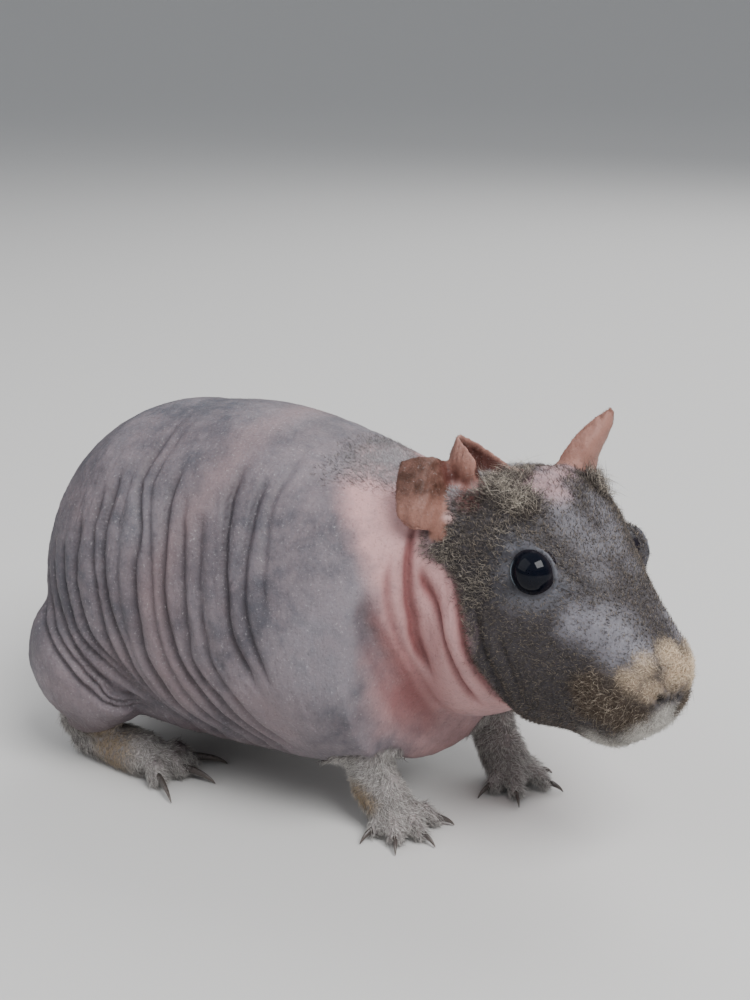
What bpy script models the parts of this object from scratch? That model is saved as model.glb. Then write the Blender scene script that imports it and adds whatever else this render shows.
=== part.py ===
"""Life-size still model of a young skinny pig, the nearly hairless breed of guinea pig.

It stands hunched on its four feet with its head turned a little to its right.
+X runs from the rump to the head, +Y to the animal's left and +Z up from the floor.
The origin is on the floor under the middle of the animal's box.
"""

import math

import bmesh
import bpy
import numpy as np
from mathutils import Matrix, Vector

MM = 0.001
GAP = 0.3 * MM
SIDES = {"right": -1, "left": 1}

# Torso: an egg with a round rump, then stations along the back as (x, top, side, belly)
RUMP_X = -43.5 * MM
RUMP_LENGTH = 38.5 * MM
MIDDLE_HEIGHT = 47 * MM
TORSO_STATIONS = [
    (-43.5, 45.0, 40.0, -39.5),
    (-26, 46.5, 41.0, -39.5),
    (-8, 44.5, 39.5, -38.5),
    (8, 40.5, 37.0, -36.5),
    (22, 36.5, 34.0, -33.0),
]
TORSO_END = 22 * MM
TORSO_SQUARENESS = 2.15
# Shoulder blades and haunches as bumps: x, left, up from the floor, radius and height in mm
TORSO_BUMPS = [(10, 34, 36, 15, 2.0), (12, 28, 16, 12, 3.0), (-58, 28, 40, 20, 2.0)]

# Head: the nose tip, the turn to the right and the nod down, in degrees
NOSE_TIP = Vector((90.5 * MM, -9.0 * MM, 54.0 * MM))
HEAD_TURN = -19.5
HEAD_NOD = 12.0
HEAD_ROLL = -5.0
# Stations along the head: (distance behind the nose tip, top, widest height, half width, bottom)
HEAD_STATIONS = [
    (56, 23.0, -4.0, 27.0, -41.0),
    (48, 24.5, -4.0, 25.8, -42.0),
    (43, 23.6, -4.3, 24.5, -38.5),
    (38, 21.7, -4.6, 22.7, -33.0),
    (34, 19.6, -4.9, 20.8, -31.0),
    (30, 17.4, -5.2, 19.0, -31.8),
    (25, 14.5, -6.0, 17.0, -30.0),
    (18, 10.5, -7.0, 14.6, -27.2),
    (12, 7.5, -7.5, 13.2, -26.0),
    (7, 5.0, -7.5, 11.8, -23.8),
    (3.6, 3.2, -7.0, 9.8, -19.5),
    (1.5, 1.6, -6.5, 7.2, -16.0),
    (0.3, -0.6, -6.0, 4.0, -11.5),
]
HEAD_LENGTH = 50 * MM
# Where the head's rings stand, in mm behind the nose tip, closer together at the blunt muzzle
HEAD_RINGS = [50, 47, 44, 41, 38, 35, 32, 29, 26, 23, 20, 17, 14, 11, 8.5, 6, 4, 2.4, 1.2, 0.3]
HEAD_SQUARENESS = 2.25
HEAD_SIDES = 36
# Over this length the bumps fade out before the end of the torso or of the head
BUMP_FADE = 6 * MM
# Bumps of the head on both sides: distance back, left, up, radius and height in mm
HEAD_BUMPS = [
    (32.0, 19.0, 9.0, 8.0, 0.5),
    (44.0, 24.0, -12.0, 12.0, 2.4),
    (8.0, 10.5, -12.0, 6.0, 1.8),
    (1.0, 3.6, -2.0, 3.2, 0.9),
]

# Neck: stations from the torso's front to the back of the head: (share of the way, top, side,
# bottom), round a middle that ends a little below the head's own axis
NECK_STATIONS = [(0.0, 36.5, 34.0, -33.0), (0.5, 32.5, 31.0, -41.5), (1.0, 28.2, 26.1, -38.0)]
NECK_END_DROP = 4.0 * MM
NECK_RINGS = 24
NECK_SIDES = 32
NECK_FOLDS = [0.1, 0.28, 0.46, 0.64, 0.82]
NECK_FOLD_DEPTH = 1.3 * MM
NECK_FOLD_WIDTH = 0.055
# What is left of these folds on the far side, and how fast they start below the top
NECK_FAR_SHARE = 0.25
NECK_TOP_FADE = 2.2

# Skin folds of the haunch and the flank, in mm: each valley's strength, its lowest and highest
# place, and where it runs along the body at each of these heights over the floor
FOLD_HEIGHTS = (20, 26, 33, 41, 50, 60, 70, 80)
FLANK_FOLDS = [
    (0.9, 16, 50, (-38, -48.5, -56.5, -65.5, -71, -75, -77, -77)),
    (0.9, 16, 56, (-35, -44.5, -52, -61, -67, -70, -71, -71)),
    (1.0, 16, 60, (-32, -41, -48.6, -56.5, -62, -65, -65.5, -65)),
    (0.9, 16, 64, (-30, -36, -42.8, -51.8, -56, -59, -59.5, -59)),
    (0.9, 14, 70, (-28.8, -34.6, -39.6, -47.4, -51.2, -53.5, -54, -54)),
    (0.8, 10, 78, (-27.6, -33.3, -37.7, -42.4, -44.5, -47.3, -49, -49.5)),
    (1.0, 10, 82, (-26, -30.8, -34.4, -37.4, -41.2, -44, -45, -46)),
    (0.35, 10, 84, (-23, -28, -31.5, -34.5, -37, -39, -40.5, -42)),
    (0.9, 10, 90, (-19, -24.3, -27.2, -30.7, -32.1, -33.9, -34.2, -39)),
    (0.55, 10, 90, (-11, -17, -21.2, -24.2, -26.6, -28.2, -31, -35)),
    (1.0, 10, 84, (-5, -11, -15.8, -20.2, -23.1, -25, -26.3, -28)),
    (0.8, 12, 78, (0, -6, -10.7, -16.2, -17.5, -19.2, -21.2, -23.5)),
    (0.6, 16, 76, (5, -1, -6, -10.5, -12.5, -14.5, -16.3, -19)),
    (1.0, 36, 86, (9, 6, 3, -1.3, -5.7, -7.4, -9.8, -12.4)),
    (0.8, 37, 84, (12, 9, 7, 3.9, -0.2, -3, -4.2, -5.7)),
    (0.5, 54, 88, (14.5, 12, 9, 6, 3.5, 2, 0.3, -2)),
]
FOLD_DEPTH = 1.3 * MM
FOLD_WIDTH = 1.25
FOLD_FADE = 8
FOLD_RING_PITCH = 2.0 * MM
# Over this length from the rump's end the rings come to follow the lines of the folds
REAR_FADE = 30 * MM
SWEEP_STEPS = 6
# The torso's rings: points round it, angles round the rump's end and the pitch in front
TORSO_SIDES = 34
RUMP_RINGS = (4, 10, 17)
FRONT_RING_PITCH = 3.4 * MM

# Haunch: the skin round the thigh
THIGH_RADII = (19 * MM, 13 * MM, 19 * MM)
THIGH_SEGMENTS = 40
THIGH_RINGS = 24

# Eyes
EYE_RADIUS = 5.4 * MM
EYE_BACK = 31.2 * MM
EYE_UP = 9.8 * MM
EYE_OUT = 19.0 * MM
EYE_DEPTH = 3.0 * MM
LID_RADIUS = 5.2 * MM
LID_THICKNESS = 1.1 * MM
LID_FORWARD = 2.5 * MM
# The way an eye looks: forward, out and up
EYE_LOOK = (0.34, 1.0, 0.20)

# Nostrils, mouth and cleft of the lip as (back, left, up) in mm from the nose tip
NOSTRIL_LINE = [(2.6, 6.0, -5.0), (1.0, 4.2, -6.4), (0.4, 2.4, -8.0)]
NOSTRIL_RADIUS = 0.8 * MM
MOUTH_LINE = [(2.4, 0.0, -15.0), (3.2, 3.0, -16.0), (5.4, 6.2, -17.0), (9.4, 9.0, -17.0)]
MOUTH_RADIUS = 0.8 * MM
CLEFT_LINE = [(0.4, 0.0, -8.5), (1.0, 0.0, -11.0), (1.9, 0.0, -14.2)]
CLEFT_RADIUS = 0.5 * MM

# Ears as sheets through curves of (back, left, up) in mm from the nose tip. The near ear is a
# scoop, open to the front, with a broad lobe hanging behind it; the far one is a folded leaf.
EAR_THICKNESS = 1.3 * MM
EARS = {
    "right": {
        "scoop": [
            [
                (51.2, 7.8, 19.5), (53.3, 9.4, 18.3), (57.5, 10.1, 16.9), (62.4, 11.2, 16.2),
                (64.2, 14.2, 17.0), (60.2, 17.4, 17.5), (56.1, 17.0, 17.3), (54.0, 14.7, 17.3),
            ],
            [
                (51.0, 7.2, 21.2), (55.0, 7.7, 20.9), (60.2, 8.0, 20.4), (65.1, 9.2, 20.5),
                (65.3, 14.5, 21.5), (60.9, 18.0, 22.7), (56.0, 17.8, 22.3), (53.2, 15.4, 20.4),
            ],
            [
                (51.7, 6.6, 23.0), (56.0, 6.6, 23.2), (60.7, 7.0, 23.6), (64.3, 8.6, 24.6),
                (65.9, 11.8, 25.9), (63.4, 15.8, 27.0), (56.9, 17.1, 25.7), (53.0, 15.3, 22.3),
            ],
        ],
        "lobe": [
            [
                (64.9, 13.6, 18.8), (61.9, 15.9, 17.0), (58.4, 19.7, 14.6),
                (54.2, 23.5, 12.3), (52.6, 25.0, 8.7),
            ],
            [
                (62.7, 23.9, 23.2), (59.6, 26.6, 21.2), (56.6, 29.2, 17.7),
                (53.8, 31.0, 13.8), (51.2, 30.9, 9.3),
            ],
            [
                (68.5, 28.8, 20.8), (66.3, 31.5, 18.5), (63.1, 33.2, 14.9),
                (58.4, 34.3, 11.5), (53.3, 32.8, 8.6),
            ],
        ],
    },
    "left": {
        "leaf": [
            [(55.3, 8.2, 18.5), (54.7, 9.5, 25.7), (54.1, 14.0, 31.8), (52.5, 18.1, 37.0)],
            [(49.3, 9.8, 18.0), (48.3, 10.5, 27.3), (49.4, 15.1, 33.4), (51.4, 18.6, 38.3)],
            [(49.0, 15.5, 17.5), (49.5, 17.0, 25.8), (49.8, 19.9, 32.1), (50.8, 20.3, 37.0)],
            [(49.5, 18.0, 14.0), (53.0, 19.5, 19.9), (52.9, 19.8, 26.7), (51.9, 20.1, 34.4)],
        ],
    },
}
EAR_ACROSS = 14
EAR_ALONG = 6
# Gristle at the ears' roots: its middle in the head's frame and its radii, in mm
EAR_ROOTS = {
    "right": [((57.5, 19.0, 14.5), (7.0, 5.0, 3.0)), ((52.3, 24.5, 13.1), (1.5, 1.5, 1.5))],
    "left": [((51.0, 14.0, 18.5), (5.0, 6.5, 3.5))],
}

# Legs as joints' places (x, left, up) and toe tips (x, left), in mm, coat and all
FORELEGS = {
    "right": {
        "shoulder": (10, -22, 36),
        "elbow": (15, -20.5, 27),
        "wrist": (20, -17.5, 11),
        "palm": (25, -17, 4.2),
        "toes": [(23.5, -23.5), (29.5, -24.0), (33.5, -19.0), (33.0, -11.5)],
    },
    "left": {
        "shoulder": (24, 21, 36),
        "elbow": (29, 20.5, 27),
        "wrist": (34, 18.0, 11),
        "palm": (39, 16.5, 4.2),
        "toes": [(43.0, 23.0), (47.5, 18.5), (43.5, 10.5), (37.0, 10.0)],
    },
}
HINDLEGS = {
    "right": {
        "thigh": (-57, -29, 30),
        "knee": (-46, -33, 25.5),
        "hock": (-65, -26, 10),
        "heel": (-63.5, -25.5, 5.4),
        "ball": (-43, -27.0, 5.0),
        "toes": [(-35.5, -31.5), (-33.5, -25.0), (-35.0, -19.5)],
    },
    "left": {
        "thigh": (-56, 29, 30),
        "knee": (-45, 33, 25.5),
        "hock": (-63, 26, 10),
        "heel": (-61.5, 25.5, 5.4),
        "ball": (-41, 27.0, 5.0),
        "toes": [(-33.5, 31.5), (-31.5, 25.0), (-33.0, 19.5)],
    },
}
SOLE_LEVEL = 0.0
FORELEG_RADII = (8.6 * MM, 7.4 * MM, 6.2 * MM, 6.0 * MM)
FOREFOOT_RADII = (6.3 * MM, 6.5 * MM, 5.9 * MM)
LEG_SIDES = 14
FOOT_SIDES = 12
SHANK_RADII = (7.8 * MM, 8.2 * MM, 6.2 * MM)
HINDFOOT_RADII = (5.6 * MM, 5.8 * MM, 6.0 * MM)
FORETOE_RADIUS = 2.7 * MM
HINDTOE_RADIUS = 3.1 * MM
TOE_SIDES = 8
# In toe radii: how high the tip's middle lies and how far the knuckle rises
TOE_TIP_HEIGHT = 0.66
TOE_ARCH = 0.55
# Claws: length, radius at the root and the root's height over the floor
FORECLAW = (5.5 * MM, 1.0 * MM, 2.6 * MM)
HINDCLAW = (10.5 * MM, 1.2 * MM, 3.4 * MM)
CLAW_TIP_HEIGHT = 0.4 * MM
CLAW_SUNK = 0.8 * MM
CLAW_STEPS = 5
CLAW_SIDES = 6
# How far a claw's path turns, in radians, going forward and going down
CLAW_FORWARD_TURN = 1.25
CLAW_DOWN_TURN = 1.5
# A tube's rounded end, in radii: how far a ring stands beyond the last point and how wide it is
ROUNDED_END = [(0.45, 0.8), (0.8, 0.35)]
# A copy made wider never moves a corner further than this many times the amount
CORNER_LIMIT = 2.0
FLOOR_BLOCK_SIZE = 0.5

SKIN_GREY = (0.20, 0.17, 0.17, 1.0)
SKIN_PINK = (0.55, 0.31, 0.27, 1.0)
FUR_BROWN = (0.25, 0.20, 0.15, 1.0)
EYE_BLACK = (0.01, 0.01, 0.014, 1.0)
CLAW_HORN = (0.12, 0.10, 0.09, 1.0)


def clear_scene():
    for thing in list(bpy.data.objects):
        bpy.data.objects.remove(thing, do_unlink=True)


def make_material(name, colour, roughness):
    material = bpy.data.materials.new(name)
    material.use_nodes = True
    shader = material.node_tree.nodes["Principled BSDF"]
    shader.inputs["Base Color"].default_value = colour
    shader.inputs["Roughness"].default_value = roughness
    shader.inputs["Metallic"].default_value = 0.0
    return material


def smooth_table(rows, scale=MM):
    """Functions through the columns of rows, each a smooth curve over the first column."""
    data = np.array(rows, float)
    keys = data[:, 0]
    if keys[0] > keys[-1]:
        data = data[::-1]
        keys = data[:, 0]
    columns = []
    for column in data[:, 1:].T:
        columns.append((column, np.gradient(column, keys)))

    def at(position):
        u = min(max(position / scale, keys[0]), keys[-1])
        i = int(min(max(np.searchsorted(keys, u) - 1, 0), len(keys) - 2))
        h = keys[i + 1] - keys[i]
        t = (u - keys[i]) / h
        a, b = 2 * t**3 - 3 * t**2 + 1, t**3 - 2 * t**2 + t
        c, d = -2 * t**3 + 3 * t**2, t**3 - t**2
        found = []
        for values, slopes in columns:
            value = a * values[i] + b * h * slopes[i] + c * values[i + 1] + d * h * slopes[i + 1]
            found.append(value * MM)
        return found

    return at


def smooth_step(value):
    value = min(max(value, 0.0), 1.0)
    return value * value * (3 - 2 * value)


def power(value, exponent):
    return math.copysign(abs(value) ** exponent, value)


def section_point(angle, top, side, bottom, squareness):
    """A point of a body section as (left, up); the section is widest at height 0."""
    left = side * power(math.cos(angle), 2 / squareness)
    up = power(math.sin(angle), 2 / squareness)
    return left, up * (top if up > 0 else -bottom)


def loft(name, rings, material, collection):
    """A closed body through rings of the same count, with a flat fan at each end."""
    shape = bmesh.new()
    rows = [[shape.verts.new(point) for point in ring] for ring in rings]
    count = len(rings[0])
    for row, following in zip(rows, rows[1:]):
        for i in range(count):
            j = (i + 1) % count
            shape.faces.new((row[i], row[j], following[j], following[i]))
    shape.faces.new(rows[0][::-1])
    shape.faces.new(rows[-1])
    bmesh.ops.recalc_face_normals(shape, faces=shape.faces)
    ends = [face for face in shape.faces if len(face.verts) > 4]
    bmesh.ops.poke(shape, faces=ends)
    mesh = bpy.data.meshes.new(name)
    shape.to_mesh(mesh)
    shape.free()
    thing = bpy.data.objects.new(name, mesh)
    thing.data.materials.append(material)
    collection.objects.link(thing)
    return thing


def tube(name, points, radii, material, collection, sides=10, flat=1.0, side_hint=(0, 1, 0)):
    """A tapering closed tube through points, round or flattened, with rounded ends."""
    points = [Vector(p) for p in points]
    rings = []
    for i, point in enumerate(points):
        before = points[max(i - 1, 0)]
        after = points[min(i + 1, len(points) - 1)]
        along = (after - before).normalized()
        across = (Vector(side_hint) - along * along.dot(Vector(side_hint))).normalized()
        other = along.cross(across)
        stations = [(0.0, 1.0)]
        if i == 0:
            stations = [(-shift, share) for shift, share in reversed(ROUNDED_END)] + stations
        elif i == len(points) - 1:
            stations = stations + ROUNDED_END
        for shift, share in stations:
            centre = point + along * radii[i] * shift
            radius = radii[i] * share
            ring = []
            for k in range(sides):
                angle = 2 * math.pi * k / sides
                ring.append(
                    centre + across * radius * math.cos(angle) + other * radius * flat * math.sin(angle)
                )
            rings.append(ring)
    return loft(name, rings, material, collection)


def ball(name, centre, radii, material, collection, segments=14, rings=9, turn=None):
    """A stretched sphere, turned by a rotation matrix where one is given."""
    shape = bmesh.new()
    bmesh.ops.create_uvsphere(shape, u_segments=segments, v_segments=rings, radius=1.0)
    stretch = Matrix.Diagonal((*radii, 1.0))
    placed = Matrix.Translation(centre) @ (turn.to_4x4() if turn else Matrix.Identity(4)) @ stretch
    bmesh.ops.transform(shape, matrix=placed, verts=shape.verts)
    mesh = bpy.data.meshes.new(name)
    shape.to_mesh(mesh)
    shape.free()
    thing = bpy.data.objects.new(name, mesh)
    thing.data.materials.append(material)
    collection.objects.link(thing)
    return thing


def apply_modifiers(thing):
    """Turns what the modifiers show into the object's own mesh."""
    bpy.context.view_layer.update()
    graph = bpy.context.evaluated_depsgraph_get()
    made = bpy.data.meshes.new_from_object(thing.evaluated_get(graph))
    old = thing.data
    thing.modifiers.clear()
    thing.data = made
    bpy.data.meshes.remove(old)


def keep_largest(thing):
    """Keeps the largest closed surface of a mesh and drops loose scraps."""
    shape = bmesh.new()
    shape.from_mesh(thing.data)
    left = set(shape.faces)
    groups = []
    while left:
        start = left.pop()
        group = [start]
        front = [start]
        while front:
            face = front.pop()
            for edge in face.edges:
                for other in edge.link_faces:
                    if other in left:
                        left.discard(other)
                        group.append(other)
                        front.append(other)
        groups.append(group)
    groups.sort(key=len)
    for group in groups[:-1]:
        bmesh.ops.delete(shape, geom=group, context="FACES")
    shape.to_mesh(thing.data)
    shape.free()


def boolean(thing, others, operation, solver="EXACT"):
    """Joins or cuts with closed meshes, applies the result and removes those meshes."""
    group = bpy.data.collections.new("boolean_pieces")
    bpy.context.scene.collection.children.link(group)
    for other in others:
        for owner in list(other.users_collection):
            owner.objects.unlink(other)
        group.objects.link(other)
    modifier = thing.modifiers.new("join", "BOOLEAN")
    modifier.operation = operation
    modifier.solver = solver
    modifier.operand_type = "COLLECTION"
    modifier.collection = group
    apply_modifiers(thing)
    for other in list(group.objects):
        bpy.data.objects.remove(other, do_unlink=True)
    bpy.data.collections.remove(group)
    keep_largest(thing)


def grown_copy(thing, amount):
    """A copy whose surface lies a little outside the original's."""
    copy = thing.copy()
    copy.data = thing.data.copy()
    bpy.context.scene.collection.objects.link(copy)
    shape = bmesh.new()
    shape.from_mesh(copy.data)
    shape.normal_update()
    moves = [(v, v.normal * amount * min(v.calc_shell_factor(), CORNER_LIMIT)) for v in shape.verts]
    for vertex, move in moves:
        vertex.co += move
    shape.to_mesh(copy.data)
    shape.free()
    return copy


def cut_clear(thing, *neighbours, solver="EXACT"):
    """Cuts a node back from its neighbours, so that they meet face to face with the gap."""
    for neighbour in neighbours:
        boolean(thing, [grown_copy(neighbour, GAP)], "DIFFERENCE", solver)


def floor_block(collection):
    """A block below the level that the soles stand on."""
    shape = bmesh.new()
    bmesh.ops.create_cube(shape, size=1.0)
    middle = (0, 0, SOLE_LEVEL - FLOOR_BLOCK_SIZE / 2)
    placed = Matrix.Translation(middle) @ Matrix.Scale(FLOOR_BLOCK_SIZE, 4)
    bmesh.ops.transform(shape, matrix=placed, verts=shape.verts)
    mesh = bpy.data.meshes.new("floor_block")
    shape.to_mesh(mesh)
    shape.free()
    thing = bpy.data.objects.new("floor_block", mesh)
    collection.objects.link(thing)
    return thing


# Head frame: forward, left and up of the turned and nodding head
HEAD_ROTATION = (
    Matrix.Rotation(math.radians(HEAD_TURN), 3, "Z")
    @ Matrix.Rotation(math.radians(HEAD_NOD), 3, "Y")
    @ Matrix.Rotation(math.radians(HEAD_ROLL), 3, "X")
)


def head_point(back, left, up):
    """A point of the head, from distances behind, left of and above the nose tip."""
    return NOSE_TIP + HEAD_ROTATION @ Vector((-back, left, up))


torso_sizes = smooth_table(TORSO_STATIONS)
head_sizes = smooth_table(HEAD_STATIONS)
neck_sizes = smooth_table(NECK_STATIONS, 1.0)


def torso_point(x, angle):
    """A point of the torso's smooth surface at station x."""
    top, side, belly = torso_sizes(max(x, RUMP_X))
    share = 1.0
    if x < RUMP_X:
        share = math.sqrt(max(1 - ((RUMP_X - x) / RUMP_LENGTH) ** 2, 0.0))
    left, up = section_point(angle, top * share, side * share, belly * share, TORSO_SQUARENESS)
    return Vector((x, left, MIDDLE_HEIGHT + up))


def swell(thing, bumps, weight=None):
    """Pushes a mesh out along its normals by round bumps that are alike on both sides."""
    normals = [vertex.normal.copy() for vertex in thing.data.vertices]
    for vertex, normal in zip(thing.data.vertices, normals):
        rise = 0.0
        for x, left, up, radius, height in bumps:
            for side in SIDES.values():
                away = (vertex.co - Vector((x, side * left, up)) * MM).length / (radius * MM)
                rise += height * MM * math.exp(-away * away)
        vertex.co += normal * rise * (weight(vertex.co) if weight else 1.0)


def swept(x, z):
    """Where the skin of a station lies at a height, as the lines of the folds run."""
    tops = [line[-1] for _, _, _, line in FLANK_FOLDS] + [TORSO_END / MM]
    places = [np.interp(z / MM, FOLD_HEIGHTS, line) for _, _, _, line in FLANK_FOLDS]
    moved = np.interp(x / MM, tops, places + [TORSO_END / MM]) * MM
    return x + (moved - x) * smooth_step((x - (RUMP_X - RUMP_LENGTH)) / REAR_FADE)


def fold_valleys(place):
    """How deep the folds of the haunch and the flank press the skin in at a place."""
    x, z = place.x / MM, place.z / MM
    depth = 0.0
    for strength, low, top, line in FLANK_FOLDS:
        here, above = np.interp([z, z + 1], FOLD_HEIGHTS, line)
        away = (x - here) / math.hypot(1, above - here) / FOLD_WIDTH
        ends = smooth_step((top - z) / FOLD_FADE) * smooth_step((z - low) / FOLD_FADE)
        depth += FOLD_DEPTH * strength * ends * math.exp(-away * away)
    return depth


def press_folds(thing):
    """Sinks the valleys of the folds into a mesh along its normals."""
    normals = [vertex.normal.copy() for vertex in thing.data.vertices]
    depths = [fold_valleys(vertex.co) for vertex in thing.data.vertices]
    for vertex, normal, depth in zip(thing.data.vertices, normals, depths):
        vertex.co -= normal * depth


def torso_stations():
    """Where the torso's rings stand: round the rump, on and between the folds, then wider."""
    stations = [RUMP_X - RUMP_LENGTH * math.cos(math.radians(angle)) for angle in RUMP_RINGS]
    valleys = [line[-1] * MM for _, _, _, line in FLANK_FOLDS]
    for valley, following in zip(valleys, valleys[1:]):
        count = max(2, round((following - valley) / FOLD_RING_PITCH))
        stations += [valley + (following - valley) * i / count for i in range(count)]
    count = round((TORSO_END - valleys[-1]) / FRONT_RING_PITCH)
    return stations + [valleys[-1] + (TORSO_END - valleys[-1]) * i / count for i in range(count + 1)]


def make_torso(material, collection):
    """The torso, and a copy without folds but wider by the gap, which cuts the haunches."""
    rings = []
    for station in torso_stations():
        ring = []
        for i in range(TORSO_SIDES):
            angle = 2 * math.pi * i / TORSO_SIDES
            point = torso_point(station, angle)
            for _ in range(SWEEP_STEPS):
                point = torso_point(swept(station, point.z), angle)
            ring.append(point)
        rings.append(ring)
    torso = loft("torso", rings, material, collection)
    swell(torso, TORSO_BUMPS, lambda place: smooth_step((TORSO_END - place.x) / BUMP_FADE))
    smooth = grown_copy(torso, GAP)
    press_folds(torso)
    return torso, smooth


def make_neck(material, collection):
    """The neck, whose folds crowd on the side that the head turns to."""
    rings = []
    start = Vector((TORSO_END + GAP, 0, MIDDLE_HEIGHT))
    end = head_point(HEAD_LENGTH + GAP, 0, -NECK_END_DROP)
    turned = HEAD_ROTATION.to_quaternion()
    straight = Matrix.Identity(3).to_quaternion()
    for step in range(NECK_RINGS + 1):
        share = step / NECK_RINGS
        top, side, bottom = neck_sizes(share)
        centre = start.lerp(end, share)
        rotation = straight.slerp(turned, share)
        ring = []
        for i in range(NECK_SIDES):
            angle = 2 * math.pi * i / NECK_SIDES
            spoke = Vector((0, *section_point(angle, top, side, bottom, TORSO_SQUARENESS)))
            near = 0.5 - 0.5 * math.cos(angle)
            low = 0.5 - 0.5 * math.sin(angle)
            valley = sum(math.exp(-(((share - f) / NECK_FOLD_WIDTH) ** 2)) for f in NECK_FOLDS)
            flat_end = smooth_step(share * NECK_RINGS / 2) * smooth_step((1 - share) * NECK_RINGS / 2)
            on_side = NECK_FAR_SHARE + (1 - NECK_FAR_SHARE) * near
            strength = on_side * smooth_step(low * NECK_TOP_FADE) * flat_end
            spoke -= spoke.normalized() * NECK_FOLD_DEPTH * valley * strength
            ring.append(centre + rotation @ spoke)
        rings.append(ring)
    return loft("neck", rings, material, collection)


def make_head(material, collection):
    rings = []
    for back in HEAD_RINGS:
        top, widest, side, bottom = head_sizes(back * MM)
        ring = []
        for i in range(HEAD_SIDES):
            angle = 2 * math.pi * i / HEAD_SIDES
            left, up = section_point(angle, top - widest, side, bottom - widest, HEAD_SQUARENESS)
            ring.append(Vector((-back * MM, left, widest + up)))
        rings.append(ring)
    head = loft("head", rings, material, collection)
    bumps = [(-back, left, up, radius, height) for back, left, up, radius, height in HEAD_BUMPS]
    swell(head, bumps, lambda place: smooth_step((HEAD_LENGTH + place.x) / BUMP_FADE))
    head.data.transform(Matrix.Translation(NOSE_TIP) @ HEAD_ROTATION.to_4x4())
    return head


def on_surface(thing, point):
    """The nearest place on a mesh to a point, and the way the surface faces there."""
    found, place, facing, _ = thing.closest_point_on_mesh(point)
    return place, facing


def eye_place(head, side):
    """An eye's centre and the way it looks, from the surface of the head."""
    place, _ = on_surface(head, head_point(EYE_BACK, side * EYE_OUT, EYE_UP))
    forward, out, up = EYE_LOOK
    axis = (HEAD_ROTATION @ Vector((forward, side * out, up))).normalized()
    return place - axis * EYE_DEPTH, axis


def make_eye(side_name, head, material, collection):
    centre, _ = eye_place(head, SIDES[side_name])
    radii = (EYE_RADIUS,) * 3
    return ball(f"eye_{side_name}", centre, radii, material, collection, segments=14, rings=10)


def make_lid(head, side, material, collection):
    """The ring of both lids round an eye, as one closed roll of skin."""
    centre, axis = eye_place(head, side)
    bpy.ops.mesh.primitive_torus_add(
        major_segments=20,
        minor_segments=8,
        major_radius=LID_RADIUS,
        minor_radius=LID_THICKNESS,
        location=centre + axis * LID_FORWARD,
        rotation=axis.to_track_quat("Z", "Y").to_euler(),
    )
    lid = bpy.context.object
    bpy.context.view_layer.update()
    lid.data.transform(lid.matrix_world)
    lid.matrix_world = Matrix.Identity(4)
    lid.data.materials.append(material)
    return lid


def groove(name, head, line, radius, material, collection):
    """A cutter that runs along the head's surface through points given in the head's frame."""
    points = []
    for back, left, up in line:
        place, _ = on_surface(head, head_point(back * MM, left * MM, up * MM))
        points.append(place)
    radii = [radius] * len(points)
    return tube(name, points, radii, material, collection, sides=6, side_hint=(0.3, 0.2, 1))


def finish_head(head, lids, eyes, material, collection):
    """Adds the lids and cuts the sockets, the nostrils and the line of the mouth."""
    cutters = []
    for side in SIDES.values():
        line = [(back, side * left, up) for back, left, up in NOSTRIL_LINE]
        cutters.append(groove("nostril", head, line, NOSTRIL_RADIUS, material, collection))
    line = [(back, -left, up) for back, left, up in MOUTH_LINE[:0:-1]] + MOUTH_LINE
    cutters.append(groove("mouth", head, line, MOUTH_RADIUS, material, collection))
    cutters.append(groove("cleft", head, CLEFT_LINE, CLEFT_RADIUS, material, collection))
    boolean(head, lids, "UNION")
    for cutter in cutters:
        boolean(head, [cutter], "DIFFERENCE")
    cut_clear(head, *eyes)


def curved_sheet(name, curves, side, material, collection):
    """A sheet of even thickness through curves of points in the head's frame."""
    lines = []
    for curve in curves:
        place = smooth_table([(i, *point) for i, point in enumerate(curve)], 1.0)
        lines.append([place(i * (len(curve) - 1) / EAR_ACROSS) for i in range(EAR_ACROSS + 1)])
    shape = bmesh.new()
    columns = []
    for i in range(EAR_ACROSS + 1):
        table = [(k, *(value / MM for value in line[i])) for k, line in enumerate(lines)]
        place = smooth_table(table, 1.0)
        column = []
        for j in range(EAR_ALONG + 1):
            back, left, up = place(j * (len(lines) - 1) / EAR_ALONG)
            column.append(shape.verts.new(head_point(back, side * left, up)))
        columns.append(column)
    for column, following in zip(columns, columns[1:]):
        for j in range(EAR_ALONG):
            shape.faces.new((column[j], following[j], following[j + 1], column[j + 1]))
    mesh = bpy.data.meshes.new(name)
    shape.to_mesh(mesh)
    shape.free()
    sheet = bpy.data.objects.new(name, mesh)
    sheet.data.materials.append(material)
    collection.objects.link(sheet)
    solidify = sheet.modifiers.new("thickness", "SOLIDIFY")
    solidify.thickness = EAR_THICKNESS
    solidify.offset = 0.0
    apply_modifiers(sheet)
    shape = bmesh.new()
    shape.from_mesh(sheet.data)
    bmesh.ops.recalc_face_normals(shape, faces=shape.faces)
    bmesh.ops.triangulate(shape, faces=shape.faces)
    shape.to_mesh(sheet.data)
    shape.free()
    return sheet


def make_ear(side_name, material, collection):
    """An ear's sheets joined to the gristle at its root."""
    side = SIDES[side_name]
    pieces = [
        curved_sheet(name, curves, side, material, collection)
        for name, curves in EARS[side_name].items()
    ]
    for (back, left, up), radii in EAR_ROOTS[side_name]:
        middle = head_point(back * MM, side * left * MM, up * MM)
        radii = [radius * MM for radius in radii]
        pieces.append(ball("gristle", middle, radii, material, collection, turn=HEAD_ROTATION))
    ear = pieces[0]
    ear.name = f"ear_{side_name}"
    boolean(ear, pieces[1:], "UNION")
    return ear


def millimetres(point):
    return Vector(point) * MM


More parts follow.
